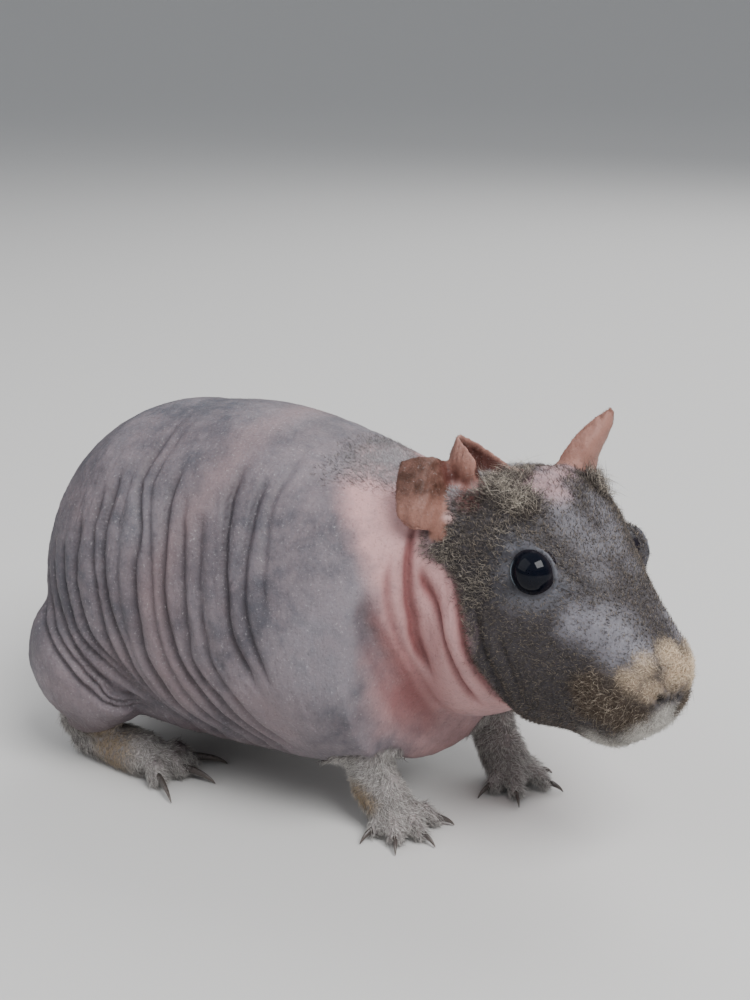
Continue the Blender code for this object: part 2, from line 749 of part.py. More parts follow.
def toe(name, base, tip, radius, material, collection):
    """A toe that arches up from the foot and comes down to a pad on the floor."""
    base, tip = Vector(base), Vector((tip[0], tip[1], radius * TOE_TIP_HEIGHT))
    knuckle = (base + tip) / 2 + Vector((0, 0, radius * TOE_ARCH))
    side_hint = (tip - base).cross(Vector((0, 0, 1)))
    points = [base, knuckle, tip]
    radii = [radius * 1.1, radius, radius * 0.9]
    return tube(name, points, radii, material, collection, TOE_SIDES, 1.0, side_hint)


def claw(name, tip_of_toe, away, sizes, material, collection):
    """A curved claw that grows from a toe's end and bends down to its point by the floor."""
    length, thickness, height = sizes
    away = Vector((*away[:2], 0)).normalized()
    start = Vector((*tip_of_toe[:2], height)) - away * CLAW_SUNK
    points = []
    radii = []
    for i in range(CLAW_STEPS + 1):
        share = i / CLAW_STEPS
        forward = length * math.sin(share * CLAW_FORWARD_TURN) / math.sin(CLAW_FORWARD_TURN)
        sunk = (1 - math.cos(share * CLAW_DOWN_TURN)) / (1 - math.cos(CLAW_DOWN_TURN))
        drop = (height - CLAW_TIP_HEIGHT) * sunk
        points.append(start + away * forward - Vector((0, 0, drop)))
        radii.append(thickness * (1 - 0.78 * share))
    return tube(name, points, radii, material, collection, CLAW_SIDES, 0.7, away.cross(Vector((0, 0, 1))))


def toes_and_claws(foot, root, tips, radius, spread, kind, claw_sizes, fur, horn, collection):
    """Joins the toes to a foot, cuts its soles flat and makes the claws."""
    pieces = []
    claws = []
    for i, tip in enumerate(tips):
        tip = millimetres((*tip, 0))
        pieces.append(toe(f"toe_{i}", root.lerp(tip, spread), tip, radius, fur, collection))
        name = f"claw_{kind}_{i + 1}"
        claws.append(claw(name, tip, tip - root, claw_sizes, horn, collection))
    boolean(foot, pieces, "UNION")
    boolean(foot, [floor_block(collection)], "DIFFERENCE")
    return claws


def make_foreleg(side_name, material, fur, horn, collection):
    sizes = FORELEGS[side_name]
    shoulder, elbow, wrist, palm = (
        millimetres(sizes[k]) for k in ("shoulder", "elbow", "wrist", "palm")
    )
    points = [shoulder, elbow, elbow.lerp(wrist, 0.55), wrist]
    leg = tube(f"foreleg_{side_name}", points, FORELEG_RADII, material, collection, LEG_SIDES)
    points = [wrist + Vector((-0.5, 0, 1.0)) * MM, wrist.lerp(palm, 0.6), palm]
    foot = tube(f"forefoot_{side_name}", points, FOREFOOT_RADII, fur, collection, FOOT_SIDES)
    kind = f"fore_{side_name}"
    claws = toes_and_claws(
        foot, palm, sizes["toes"], FORETOE_RADIUS, 0.25, kind, FORECLAW, fur, horn, collection
    )
    return leg, foot, claws


def make_thigh(centre, material, collection):
    """The haunch: a bulge of skin that the folds of the flank run on over."""
    thigh = ball("thigh", centre, THIGH_RADII, material, collection, THIGH_SEGMENTS, THIGH_RINGS)
    press_folds(thigh)
    return thigh


def make_hindleg(side_name, material, fur, horn, collection):
    sizes = HINDLEGS[side_name]
    thigh, knee, hock, heel, ball_of_foot = (
        millimetres(sizes[k]) for k in ("thigh", "knee", "hock", "heel", "ball")
    )
    leg = make_thigh(thigh, material, collection)
    leg.name = f"hindleg_{side_name}"
    points = [knee, knee.lerp(hock, 0.5), hock]
    shank = tube("shank", points, SHANK_RADII, material, collection, LEG_SIDES)
    boolean(leg, [shank], "UNION")
    points = [heel, heel.lerp(ball_of_foot, 0.5), ball_of_foot]
    foot = tube(f"hindfoot_{side_name}", points, HINDFOOT_RADII, fur, collection, FOOT_SIDES)
    kind = f"hind_{side_name}"
    tips = sizes["toes"]
    claws = toes_and_claws(
        foot, ball_of_foot, tips, HINDTOE_RADIUS, 0.2, kind, HINDCLAW, fur, horn, collection
    )
    return leg, foot, claws


def centre_on_floor(things):
    """Moves the whole animal so that the origin is on the floor under its box's middle."""
    corners = [vertex.co for thing in things for vertex in thing.data.vertices]
    low = Vector([min(corner[i] for corner in corners) for i in range(3)])
    high = Vector([max(corner[i] for corner in corners) for i in range(3)])
    shift = Vector(((low.x + high.x) / 2, (low.y + high.y) / 2, low.z))
    for thing in things:
        thing.data.transform(Matrix.Translation(-shift))


def main():
    clear_scene()
    animal = bpy.data.collections.new("skinny_pig")
    bpy.context.scene.collection.children.link(animal)
    grey = make_material("grey_skin", SKIN_GREY, 0.6)
    pink = make_material("pink_skin", SKIN_PINK, 0.6)
    fur = make_material("foot_fur", FUR_BROWN, 0.9)
    black = make_material("eye", EYE_BLACK, 0.05)
    horn = make_material("claw", CLAW_HORN, 0.35)

    torso, smooth_torso = make_torso(grey, animal)
    neck = make_neck(pink, animal)
    head = make_head(grey, animal)
    lids = [make_lid(head, side, grey, animal) for side in SIDES.values()]
    eyes = [make_eye(side, head, black, animal) for side in SIDES]
    finish_head(head, lids, eyes, grey, animal)
    for side in SIDES:
        ear = make_ear(side, pink, animal)
        cut_clear(ear, head, neck)
        leg, foot, claws = make_foreleg(side, grey, fur, horn, animal)
        cut_clear(leg, torso, neck, solver="MANIFOLD")
        cut_clear(foot, leg, torso, neck)
        for nail in claws:
            boolean(nail, [floor_block(animal)], "DIFFERENCE")
            cut_clear(nail, foot)
        leg, foot, claws = make_hindleg(side, grey, fur, horn, animal)
        boolean(leg, [smooth_torso.copy()], "DIFFERENCE")
        cut_clear(foot, leg, torso)
        for nail in claws:
            boolean(nail, [floor_block(animal)], "DIFFERENCE")
            cut_clear(nail, foot)
    bpy.data.objects.remove(smooth_torso, do_unlink=True)
    centre_on_floor(animal.objects)
    for thing in animal.objects:
        thing.data.shade_smooth()


main()
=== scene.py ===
"""A young skinny pig, life-size, standing hunched on all fours with its head turned to its right."""

import math

import bmesh
import bpy
import numpy as np
from mathutils import Euler, Matrix, Vector


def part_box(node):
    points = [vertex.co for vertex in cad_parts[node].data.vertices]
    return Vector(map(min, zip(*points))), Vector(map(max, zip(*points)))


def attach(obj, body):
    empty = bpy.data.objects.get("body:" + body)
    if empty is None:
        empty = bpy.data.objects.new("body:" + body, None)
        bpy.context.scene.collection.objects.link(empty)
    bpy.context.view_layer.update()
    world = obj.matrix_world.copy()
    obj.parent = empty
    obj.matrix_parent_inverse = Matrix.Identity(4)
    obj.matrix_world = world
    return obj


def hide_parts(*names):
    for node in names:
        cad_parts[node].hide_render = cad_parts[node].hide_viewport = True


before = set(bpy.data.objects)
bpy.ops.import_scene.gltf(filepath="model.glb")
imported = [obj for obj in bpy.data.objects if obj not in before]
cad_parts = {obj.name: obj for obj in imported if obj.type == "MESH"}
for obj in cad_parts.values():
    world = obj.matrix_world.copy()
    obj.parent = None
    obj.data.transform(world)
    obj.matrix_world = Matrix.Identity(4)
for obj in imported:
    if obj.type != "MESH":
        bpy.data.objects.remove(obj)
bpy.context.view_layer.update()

# The view: a phone held low at the animal's right front quarter, a little above its back.
# Places below are in millimetres from the shoulders, on the floor; the frame's origin is
# under the middle of the animal, so one shift along X takes one to the other.
MM = 0.001
TORSO_END = 22.0
FORWARD_SHIFT = TORSO_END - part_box("torso")[1][0] / MM
CAMERA_PLACE = (189.0, -288.0, 184.5)
CAMERA_HEADING = 32.0
CAMERA_PITCH = 17.9
CAMERA_LENS = 54.0


def to_frame(points):
    """Metres in the frame's axes, from millimetres measured from the shoulders."""
    return (np.asarray(points, float) - (FORWARD_SHIFT, 0.0, 0.0)) * MM


def new_object(name, data):
    """An object of its own for a mesh, a lamp or a camera, put into the scene."""
    made = bpy.data.objects.new(name, data)
    bpy.context.scene.collection.objects.link(made)
    return made


camera_data = bpy.data.cameras.new("camera")
camera_data.lens = CAMERA_LENS
camera_data.sensor_width = 36.0
camera_data.clip_start = 0.01
camera = new_object("camera", camera_data)
camera.location = to_frame(CAMERA_PLACE)
camera.rotation_euler = Euler(
    (math.radians(90 - CAMERA_PITCH), 0.0, math.radians(CAMERA_HEADING)), "XYZ"
)
bpy.context.scene.camera = camera


# Torso: the barrel of the body, which hangs low between the legs with a round rump.
# It is one bag of bare skin over the flesh, made as rings along the back.
RUMP_X = -43.5
RUMP_LENGTH = 38.5
MIDDLE_HEIGHT = 47.0
BODY_SQUARENESS = 2.15
# Stations as (x, top, side, belly)
TORSO_STATIONS = [
    (-43.5, 45.0, 40.0, -39.5),
    (-26, 46.5, 41.0, -39.5),
    (-8, 44.5, 39.5, -38.5),
    (8, 40.5, 37.0, -36.5),
    (22, 36.5, 34.0, -33.0),
]
# Shoulders and haunches: x, left, up, radius and height, alike on both sides
TORSO_BUMPS = [(10, 34, 36, 15, 2.0), (12, 28, 16, 12, 3.0), (-58, 28, 40, 20, 2.0)]
RING_COUNT = 300
RING_STEP = 0.9
RUMP_RINGS = 70


def smooth_step(values, low=0.0, high=1.0):
    """A soft ramp from 0 at low to 1 at high."""
    share = np.clip((np.asarray(values, float) - low) / (high - low), 0.0, 1.0)
    return share * share * (3 - 2 * share)


def smooth_table(rows):
    """Smooth curves through the columns of rows, read at any place along the first column."""
    data = np.array(rows, float)
    data = data[np.argsort(data[:, 0])]
    keys, values = data[:, 0], data[:, 1:]
    slopes = np.stack([np.gradient(column, keys) for column in values.T], -1)

    def at(places):
        places = np.clip(np.asarray(places, float), keys[0], keys[-1])
        i = np.clip(np.searchsorted(keys, places) - 1, 0, len(keys) - 2)
        span = keys[i + 1] - keys[i]
        t = ((places - keys[i]) / span)[..., None]
        span = span[..., None]
        rise = values[i + 1] * (3 * t**2 - 2 * t**3) + values[i] * (2 * t**3 - 3 * t**2 + 1)
        lean = slopes[i] * (t**3 - 2 * t**2 + t) + slopes[i + 1] * (t**3 - t**2)
        return np.moveaxis(rise + span * lean, -1, 0)

    return at


def section(angles, top, side, bottom, squareness):
    """Left and up of a body section whose widest level is 0."""
    power = 2 / squareness
    left = side * np.sign(np.cos(angles)) * np.abs(np.cos(angles)) ** power
    up = np.sign(np.sin(angles)) * np.abs(np.sin(angles)) ** power
    return left, up * np.where(up > 0, top, -bottom)


def grid_normals(points):
    """Outward normals of a tube given as rows of rings."""
    along = np.gradient(points, axis=0)
    around = np.roll(points, -1, axis=1) - np.roll(points, 1, axis=1)
    normals = np.cross(around, along)
    normals /= np.linalg.norm(normals, axis=-1, keepdims=True) + 1e-12
    middle = points.mean(axis=1, keepdims=True)
    facing = np.sum(normals * (points - middle))
    return normals * (1 if facing > 0 else -1)


def swell(points, normals, bumps):
    """Pushes points out by round bumps that are alike on both sides."""
    rise = np.zeros(points.shape[:-1])
    for x, left, up, radius, height in bumps:
        for side in (-1, 1):
            away = np.linalg.norm(points - (x, side * left, up), axis=-1) / radius
            rise += height * np.exp(-away * away)
    return points + normals * rise[..., None]


shells = []


def quads_between(index):
    """Faces between neighbouring rings, from the rings' rows of point numbers."""
    ahead = np.roll(index, -1, 1)
    return np.stack([index[:-1], ahead[:-1], ahead[1:], index[1:]], -1).reshape(-1, 4)


def add_shell(points):
    """Keeps a tube, given as rows of rings, as one closed shell with both ends filled."""
    rows, count = points.shape[:2]
    index = np.arange(rows * count).reshape(rows, count)
    verts = np.concatenate([points.reshape(-1, 3), points[:1].mean(1), points[-1:].mean(1)])
    first, last = rows * count, rows * count + 1
    fans = [(first, index[0, (i + 1) % count], index[0, i]) for i in range(count)]
    fans += [(last, index[-1, i], index[-1, (i + 1) % count]) for i in range(count)]
    shells.append((verts, quads_between(index).tolist() + fans))


torso_sizes = smooth_table(TORSO_STATIONS)
ring_angles = np.linspace(0, 2 * np.pi, RING_COUNT, endpoint=False)
rump_turn = np.radians(np.linspace(1.0, 89.0, RUMP_RINGS))
on_rump = RUMP_X - RUMP_LENGTH * np.cos(rump_turn)
on_barrel = np.arange(RUMP_X + RING_STEP, TORSO_END, RING_STEP)
stations = np.concatenate([on_rump, on_barrel, [TORSO_END + 1]])[:, None]
sizes = torso_sizes(np.maximum(stations, RUMP_X))
roundness = np.sqrt(np.clip(1 - ((RUMP_X - np.minimum(stations, RUMP_X)) / RUMP_LENGTH) ** 2, 0, 1))
left, up = section(ring_angles[None], *(sizes * roundness), BODY_SQUARENESS)
rings = np.stack([np.broadcast_to(stations, left.shape), left, MIDDLE_HEIGHT + up], -1)
add_shell(swell(rings, grid_normals(rings), TORSO_BUMPS))


# Head: long and blunt like every guinea pig's, turned to the right and nodding.
# Its forms are measured from the nose tip: back, left and up in the head's own axes.
NOSE_TIP = np.array([90.5, -9.0, 54.0])
HEAD_TURN, HEAD_NOD, HEAD_ROLL = -19.5, 12.0, -5.0
# Stations as (back, top, widest level, side, bottom)
HEAD_STATIONS = [
    (56, 23.0, -4.0, 27.0, -41.0),
    (48, 24.5, -4.0, 25.8, -42.0),
    (43, 23.6, -4.3, 24.5, -38.5),
    (38, 21.7, -4.6, 22.7, -33.0),
    (34, 19.6, -4.9, 20.8, -31.0),
    (30, 17.4, -5.2, 19.0, -31.8),
    (25, 14.5, -6.0, 17.0, -30.0),
    (18, 10.5, -7.0, 14.6, -27.2),
    (12, 7.5, -7.5, 13.2, -26.0),
    (7, 5.0, -7.5, 11.8, -23.8),
    (3.6, 3.2, -7.0, 9.8, -19.5),
    (1.5, 1.6, -6.5, 7.2, -16.0),
    (0.3, -0.6, -6.0, 4.0, -11.5),
]
HEAD_LENGTH = 50.0
HEAD_SQUARENESS = 2.25
# Brow, jowl, whisker pad and the nose's wing: back, left, up, radius and height
HEAD_BUMPS = [
    (32.0, 19.0, 9.0, 8.0, 0.5),
    (44.0, 24.0, -12.0, 12.0, 2.4),
    (8.0, 10.5, -12.0, 6.0, 1.8),
    (1.0, 3.6, -2.0, 3.2, 0.9),
]
head_axes = (
    Matrix.Rotation(math.radians(HEAD_TURN), 3, "Z")
    @ Matrix.Rotation(math.radians(HEAD_NOD), 3, "Y")
    @ Matrix.Rotation(math.radians(HEAD_ROLL), 3, "X")
)
HEAD_TURNED = np.array(head_axes)


def from_head(back_left_up):
    """Millimetres from the shoulders, from a place given as back, left and up of the nose tip."""
    place = np.asarray(back_left_up, float) * (-1, 1, 1)
    return NOSE_TIP + place @ HEAD_TURNED.T


def to_head(points):
    """Back, left and up of the nose tip, from millimetres from the shoulders."""
    return ((points - NOSE_TIP) @ HEAD_TURNED) * (-1, 1, 1)


head_sizes = smooth_table(HEAD_STATIONS)
backs = np.concatenate([np.arange(HEAD_LENGTH + 1, 3.0, -0.8), np.linspace(3.0, 0.3, 14)])[:, None]
top, widest, side, bottom = head_sizes(backs)
left, up = section(ring_angles[None], top - widest, side, bottom - widest, HEAD_SQUARENESS)
rings = np.stack([np.broadcast_to(backs, left.shape), left, widest + up], -1)
fade = smooth_step(HEAD_LENGTH - backs, 0.0, 6.0)[..., None]
swollen = swell(rings, grid_normals(rings), HEAD_BUMPS)
add_shell(from_head(rings + (swollen - rings) * fade))


# Neck: short and thick, hidden in loose skin between the shoulders and the head.
# Its rings turn from the body's axis to the head's.
# Stations as (share of the way, top, side, bottom)
NECK_STATIONS = [(0.0, 36.5, 34.0, -33.0), (0.5, 32.5, 31.0, -41.5), (1.0, 28.2, 26.1, -38.0)]
NECK_STEPS = 40
neck_start = np.array([TORSO_END, 0.0, MIDDLE_HEIGHT])
neck_end = from_head((HEAD_LENGTH, 0.0, -4.0))
shares = np.linspace(-0.03, 1.03, NECK_STEPS)
turned = head_axes.to_quaternion()
straight = Matrix.Identity(3).to_quaternion()
neck_rings = []
for share in shares:
    top, side, bottom = smooth_table(NECK_STATIONS)(share)
    left, up = section(ring_angles, top, side, bottom, BODY_SQUARENESS)
    flat = np.stack([np.zeros_like(left), left, up], -1)
    spin = np.array(straight.slerp(turned, min(max(share, 0.0), 1.0)).to_matrix())
    neck_rings.append(neck_start + (neck_end - neck_start) * share + flat @ spin.T)
add_shell(np.array(neck_rings))


# Ears: thin bare sheets of skin on the back corners of the crown. The near one is crumpled into
# a scoop, open to the front, with a broad lobe hanging behind it; the far one is a folded leaf.
# Each sheet runs through curves of (back, left, up) places in the head's axes.
EAR_THICKNESS = 1.15
RIM_THICKNESS = 0.6
RIM_SHARE = 0.15
EARS = {
    "right": {
        "scoop": [
            [
                (51.2, 7.8, 19.5), (53.3, 9.4, 18.3), (57.5, 10.1, 16.9), (62.4, 11.2, 16.2),
                (64.2, 14.2, 17.0), (60.2, 17.4, 17.5), (56.1, 17.0, 17.3), (54.0, 14.7, 17.3),
            ],
            [
                (51.0, 7.2, 21.2), (55.0, 7.7, 20.9), (60.2, 8.0, 20.4), (65.1, 9.2, 20.5),
                (65.3, 14.5, 21.5), (60.9, 18.0, 22.7), (56.0, 17.8, 22.3), (53.2, 15.4, 20.4),
            ],
            [
                (51.7, 6.6, 23.0), (56.0, 6.6, 23.2), (60.7, 7.0, 23.6), (64.3, 8.6, 24.6),
                (65.9, 11.8, 25.9), (63.4, 15.8, 27.0), (56.9, 17.1, 25.7), (53.0, 15.3, 22.3),
            ],
        ],
        "lobe": [
            [
                (64.9, 13.6, 18.8), (61.9, 15.9, 17.0), (58.4, 19.7, 14.6), (54.2, 23.5, 12.3),
                (52.6, 25.0, 8.7),
            ],
            [
                (62.7, 23.9, 23.2), (59.6, 26.6, 21.2), (56.6, 29.2, 17.7), (53.8, 31.0, 13.8),
                (51.2, 30.9, 9.3),
            ],
            [
                (68.5, 28.8, 20.8), (66.3, 31.5, 18.5), (63.1, 33.2, 14.9), (58.4, 34.3, 11.5),
                (53.3, 32.8, 8.6),
            ],
        ],
    },
    "left": {
        "leaf": [
            [(55.3, 8.2, 18.5), (54.7, 9.5, 25.7), (54.1, 14.0, 31.8), (52.5, 18.1, 37.0)],
            [(49.3, 9.8, 18.0), (48.3, 10.5, 27.3), (49.4, 15.1, 33.4), (51.4, 18.6, 38.3)],
            [(49.0, 15.5, 17.5), (49.5, 17.0, 25.8), (49.8, 19.9, 32.1), (50.8, 20.3, 37.0)],
            [(49.5, 18.0, 14.0), (53.0, 19.5, 19.9), (52.9, 19.8, 26.7), (51.9, 20.1, 34.4)],
        ],
    },
}
# Gristle at the ears' roots: its middle and its radii
EAR_ROOTS = {
    "right": [((57.5, 19.0, 14.5), (7.0, 5.0, 3.0)), ((52.3, 24.5, 13.1), (1.4, 1.4, 1.4))],
    "left": [((51.0, 14.0, 18.5), (5.0, 6.5, 3.5))],
}
EAR_GRID = 110, 60
SIDES = {"right": -1, "left": 1}


def add_sheet(sheet, facing, half):
    """Keeps a sheet with a thickness as one closed shell."""
    rows, count = sheet.shape[:2]
    index = np.arange(rows * count).reshape(rows, count)
    over = np.stack([index[:-1, :-1], index[:-1, 1:], index[1:, 1:], index[1:, :-1]], -1)
    over = over.reshape(-1, 4)
    under = over[:, ::-1] + rows * count
    border = np.concatenate([index[0], index[1:, -1], index[-1, -2::-1], index[-2:0:-1, 0]])
    after = np.roll(border, -1)
    edge = np.stack([after, border, border + rows * count, after + rows * count], -1)
    verts = np.concatenate([(sheet + facing * half).reshape(-1, 3), (sheet - facing * half).reshape(-1, 3)])
    shells.append((verts, np.concatenate([over, under, edge]).tolist()))


def add_ball(middle, radii, axes=np.eye(3)):
    """Keeps a stretched ball as a closed shell; the rows of axes are its own directions."""
    tilt = np.radians(np.linspace(2, 178, 60))[:, None]
    spin = np.linspace(0, 2 * np.pi, 90, endpoint=False)[None]
    length = np.cos(tilt) * np.ones_like(spin)
    unit = np.stack([length, np.sin(tilt) * np.cos(spin), np.sin(tilt) * np.sin(spin)], -1)
    add_shell(middle + (unit * radii) @ axes)


ear_sheets = {}
for side_name, side_sign in SIDES.items():
    for name, curves in EARS[side_name].items():
        lines = []
        for curve in curves:
            places = np.linspace(0, len(curve) - 1, EAR_GRID[0])
            lines.append(smooth_table([(i, *point) for i, point in enumerate(curve)])(places).ravel())
        places = np.linspace(0, len(curves) - 1, EAR_GRID[1])
        sheet = smooth_table([(i, *line) for i, line in enumerate(lines)])(places)
        sheet = np.transpose(sheet.reshape(3, EAR_GRID[0], EAR_GRID[1]), (2, 1, 0)) * (1, side_sign, 1)
        if name == "leaf":
            sheet = np.swapaxes(sheet, 0, 1)
        sheet = from_head(sheet)
        facing = np.cross(np.gradient(sheet, axis=1), np.gradient(sheet, axis=0))
        facing /= np.linalg.norm(facing, axis=-1, keepdims=True)
        ear_sheets[name] = sheet
        to_rim = np.linspace(1, 0, len(sheet))[:, None, None]
        thickness = RIM_THICKNESS + (1 - RIM_THICKNESS) * np.sqrt(smooth_step(to_rim, 0.0, RIM_SHARE))
        half = EAR_THICKNESS / 2 * thickness
        add_sheet(sheet, facing, half)
    for (back, left, up), radii in EAR_ROOTS[side_name]:
        add_ball(from_head((back, side_sign * left, up)), radii, HEAD_TURNED.T)


# Legs: short limbs that show only below the skin of the body. A forefoot has four toes and a
# hind foot three; the hind foot rests on its whole sole.
FORELEGS = {
    "right": {
        "shoulder": (10, -22, 36),
        "elbow": (15, -20.5, 27),
        "wrist": (20, -17.5, 11),
        "palm": (25, -17, 4.2),
        "toes": [(23.5, -23.5), (29.5, -24.0), (33.5, -19.0), (33.0, -11.5)],
    },
    "left": {
        "shoulder": (24, 21, 36),
        "elbow": (29, 20.5, 27),
        "wrist": (34, 18.0, 11),
        "palm": (39, 16.5, 4.2),
        "toes": [(43.0, 23.0), (47.5, 18.5), (43.5, 10.5), (37.0, 10.0)],
    },
}
HINDLEGS = {
    "right": {
        "thigh": (-57, -29, 30),
        "knee": (-46, -33, 25.5),
        "hock": (-65, -26, 10),
        "heel": (-63.5, -25.5, 5.4),
        "ball": (-43, -27.0, 5.0),
        "toes": [(-35.5, -31.5), (-33.5, -25.0), (-35.0, -19.5)],
    },
    "left": {
        "thigh": (-56, 29, 30),
        "knee": (-45, 33, 25.5),
        "hock": (-63, 26, 10),
        "heel": (-61.5, 25.5, 5.4),
        "ball": (-41, 27.0, 5.0),
        "toes": [(-33.5, 31.5), (-31.5, 25.0), (-33.0, 19.5)],
    },
}
FORELEG_RADII = 8.6, 7.2, 5.9, 5.7
FOREFOOT_RADII = 6.0, 6.3, 5.9
THIGH_RADII = np.array([19.0, 13.0, 19.0])
SHANK_RADII = 7.6, 8.0, 6.2
SOLE_RADII = 5.6, 5.8, 5.9
FORETOE_RADIUS = 2.9
HINDTOE_RADIUS = 3.3
TOE_ROOT_HEIGHT = 3.0
LIMB_STEPS = 14
CAP_RINGS = 9
CAP_LENGTH = 0.8


def limb(points, radii, sides=40):
    """A smooth round limb through points, with rounded ends."""
    keys = [(i, *point, radius) for i, (point, radius) in enumerate(zip(points, radii))]
    places = np.linspace(0, len(points) - 1, LIMB_STEPS * (len(points) - 1) + 1)
    x, y, z, radius = smooth_table(keys)(places)
    spine = np.stack([x, y, z], -1)
    along = np.gradient(spine, axis=0)
    along /= np.linalg.norm(along, axis=1, keepdims=True)
    cap = np.linspace(0.02, 0.98, CAP_RINGS)
    start = [spine[0] - along[0] * radius[0] * CAP_LENGTH * (1 - c) for c in cap]
    finish = [spine[-1] + along[-1] * radius[-1] * CAP_LENGTH * (1 - c) for c in cap[::-1]]
    spine = np.concatenate([start, spine, finish])
    along = np.concatenate([[along[0]] * CAP_RINGS, along, [along[-1]] * CAP_RINGS])
    swelling = np.sqrt(1 - (1 - cap) ** 2)
    radius = np.concatenate([radius[0] * swelling, radius, radius[-1] * swelling[::-1]])
    hint = np.array([0.05, 0.1, 1.0]) if abs(along[:, 2]).mean() < 0.7 else np.array([0, 1.0, 0.05])
    across = hint - along * (along @ hint)[:, None]
    across /= np.linalg.norm(across, axis=1, keepdims=True)
    other = np.cross(along, across)
    turn = np.linspace(0, 2 * np.pi, sides, endpoint=False)[None, :, None]
    reach = radius[:, None, None]
    add_shell(spine[:, None] + reach * (across[:, None] * np.cos(turn) + other[:, None] * np.sin(turn)))


def toe(root, tip, radius):
    """A toe that arches from the foot and comes down on its pad."""
    tip = np.array([tip[0], tip[1], radius * 0.72])
    knuckle = root + (tip - root) * 0.55 + (0, 0, radius * 0.6)
    limb([root, knuckle, tip], [radius * 1.05, radius * 0.95, radius * 0.85], sides=24)


for *joints, toes in (sizes.values() for sizes in FORELEGS.values()):
    shoulder, elbow, wrist, palm = np.array(joints, float)
    limb([shoulder, elbow, elbow + (wrist - elbow) * 0.55, wrist], FORELEG_RADII)
    limb([wrist + (-0.5, 0, 1.0), wrist + (palm - wrist) * 0.6, palm], FOREFOOT_RADII)
    for tip in toes:
        toe(palm + (np.array([*tip, TOE_ROOT_HEIGHT]) - palm) * 0.25, tip, FORETOE_RADIUS)
for *joints, toes in (sizes.values() for sizes in HINDLEGS.values()):
    thigh, knee, hock, heel, ball = np.array(joints, float)
    add_ball(thigh, THIGH_RADII)
    limb([knee, (knee + hock) / 2, hock], SHANK_RADII)
    limb([heel, (heel + ball) / 2, ball], SOLE_RADII)
    for tip in toes:
        toe(ball + (np.array([*tip, TOE_ROOT_HEIGHT]) - ball) * 0.2, tip, HINDTOE_RADIUS)


# Eyes' places: each eyeball sits in the side of the head and looks out, forward and up. A ring of
# thick soft skin, fused with the head, lies round it as its lids.
EYE_RADIUS = 5.4
LID_RADIUS = 5.2
LID_THICKNESS = 1.15
LID_FORWARD = 2.4
LID_RINGS, LID_SPOKES = 20, 60
EYE_LOOK = 0.34, 1.0, 0.20
eye_centres = {}
eye_axes = {}
for side_name, side_sign in SIDES.items():
    low, high = (np.array(corner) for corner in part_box(f"eye_{side_name}"))
    eye_centres[side_name] = (low + high) / 2 / MM + (FORWARD_SHIFT, 0, 0)
    axis = HEAD_TURNED @ (np.array(EYE_LOOK) * (1, side_sign, 1))
    eye_axes[side_name] = axis / np.linalg.norm(axis)


def eye_frame(side_name):
    """Unit vectors of an eye: out, towards the nose and up."""
    out = eye_axes[side_name]
    nose = HEAD_TURNED @ np.array([1.0, 0.0, -0.1])
    nose = nose - out * (nose @ out)
    nose /= np.linalg.norm(nose)
    upward = np.cross(out, nose)
    return out, nose, upward * np.sign(upward[2])


for side_name in SIDES:
    out, nose, upward = eye_frame(side_name)
    spin = np.linspace(0, 2 * np.pi, LID_SPOKES, endpoint=False)
    spokes = nose * np.cos(spin)[:, None] + upward * np.sin(spin)[:, None]
    middle = eye_centres[side_name] + out * LID_FORWARD
    lid = [
        middle + spokes * (LID_RADIUS + LID_THICKNESS * np.cos(t)) + out * LID_THICKNESS * np.sin(t)
        for t in np.linspace(0, 2 * np.pi, LID_RINGS, endpoint=False)
    ]
    index = np.arange(LID_RINGS * LID_SPOKES).reshape(LID_RINGS, LID_SPOKES)
    quads = quads_between(np.concatenate([index, index[:1]]))
    shells.append((np.concatenate(lid), quads.tolist()))


# Skin: one bare hide over the whole animal, loose enough to lie in folds. It is fused from the
# shells, smoothed where they meet, and then pushed in along its folds, wrinkles and grooves.
SKIN_VOXEL = 0.00062
SMOOTH_ROUNDS = 4
JOINT_ROUNDS = 40
LATTICE = 32


def face_outwards(mesh):
    """Turns all faces of a closed mesh outwards."""
    shape = bmesh.new()
    shape.from_mesh(mesh)
    bmesh.ops.recalc_face_normals(shape, faces=shape.faces)
    shape.to_mesh(mesh)
    shape.free()


def fused_skin():
    """One closed mesh round all the shells."""
    verts = []
    faces = []
    for points, shell_faces in shells:
        start = sum(len(v) for v in verts)
        verts.append(points)
        faces += [tuple(i + start for i in face) for face in shell_faces]
    mesh = bpy.data.meshes.new("skin")
    mesh.from_pydata(to_frame(np.concatenate(verts)).tolist(), [], faces)
    skin = new_object("skin", mesh)
    face_outwards(mesh)
    remesh = skin.modifiers.new("fuse", "REMESH")
    remesh.mode = "VOXEL"
    remesh.voxel_size = SKIN_VOXEL
    graph = bpy.context.evaluated_depsgraph_get()
    fused = bpy.data.meshes.new_from_object(skin.evaluated_get(graph))
    skin.modifiers.clear()
    skin.data = fused
    bpy.data.meshes.remove(mesh)
    return skin


def read_vectors(mesh, kind):
    """The places (co) or the normals of a mesh's points, as rows."""
    flat = np.empty(len(mesh.vertices) * 3)
    mesh.vertices.foreach_get(kind, flat)
    return flat.reshape(-1, 3)


def write_points(mesh, points):
    """Moves a mesh's points to places in millimetres from the shoulders."""
    mesh.vertices.foreach_set("co", to_frame(points).ravel())
    mesh.update()


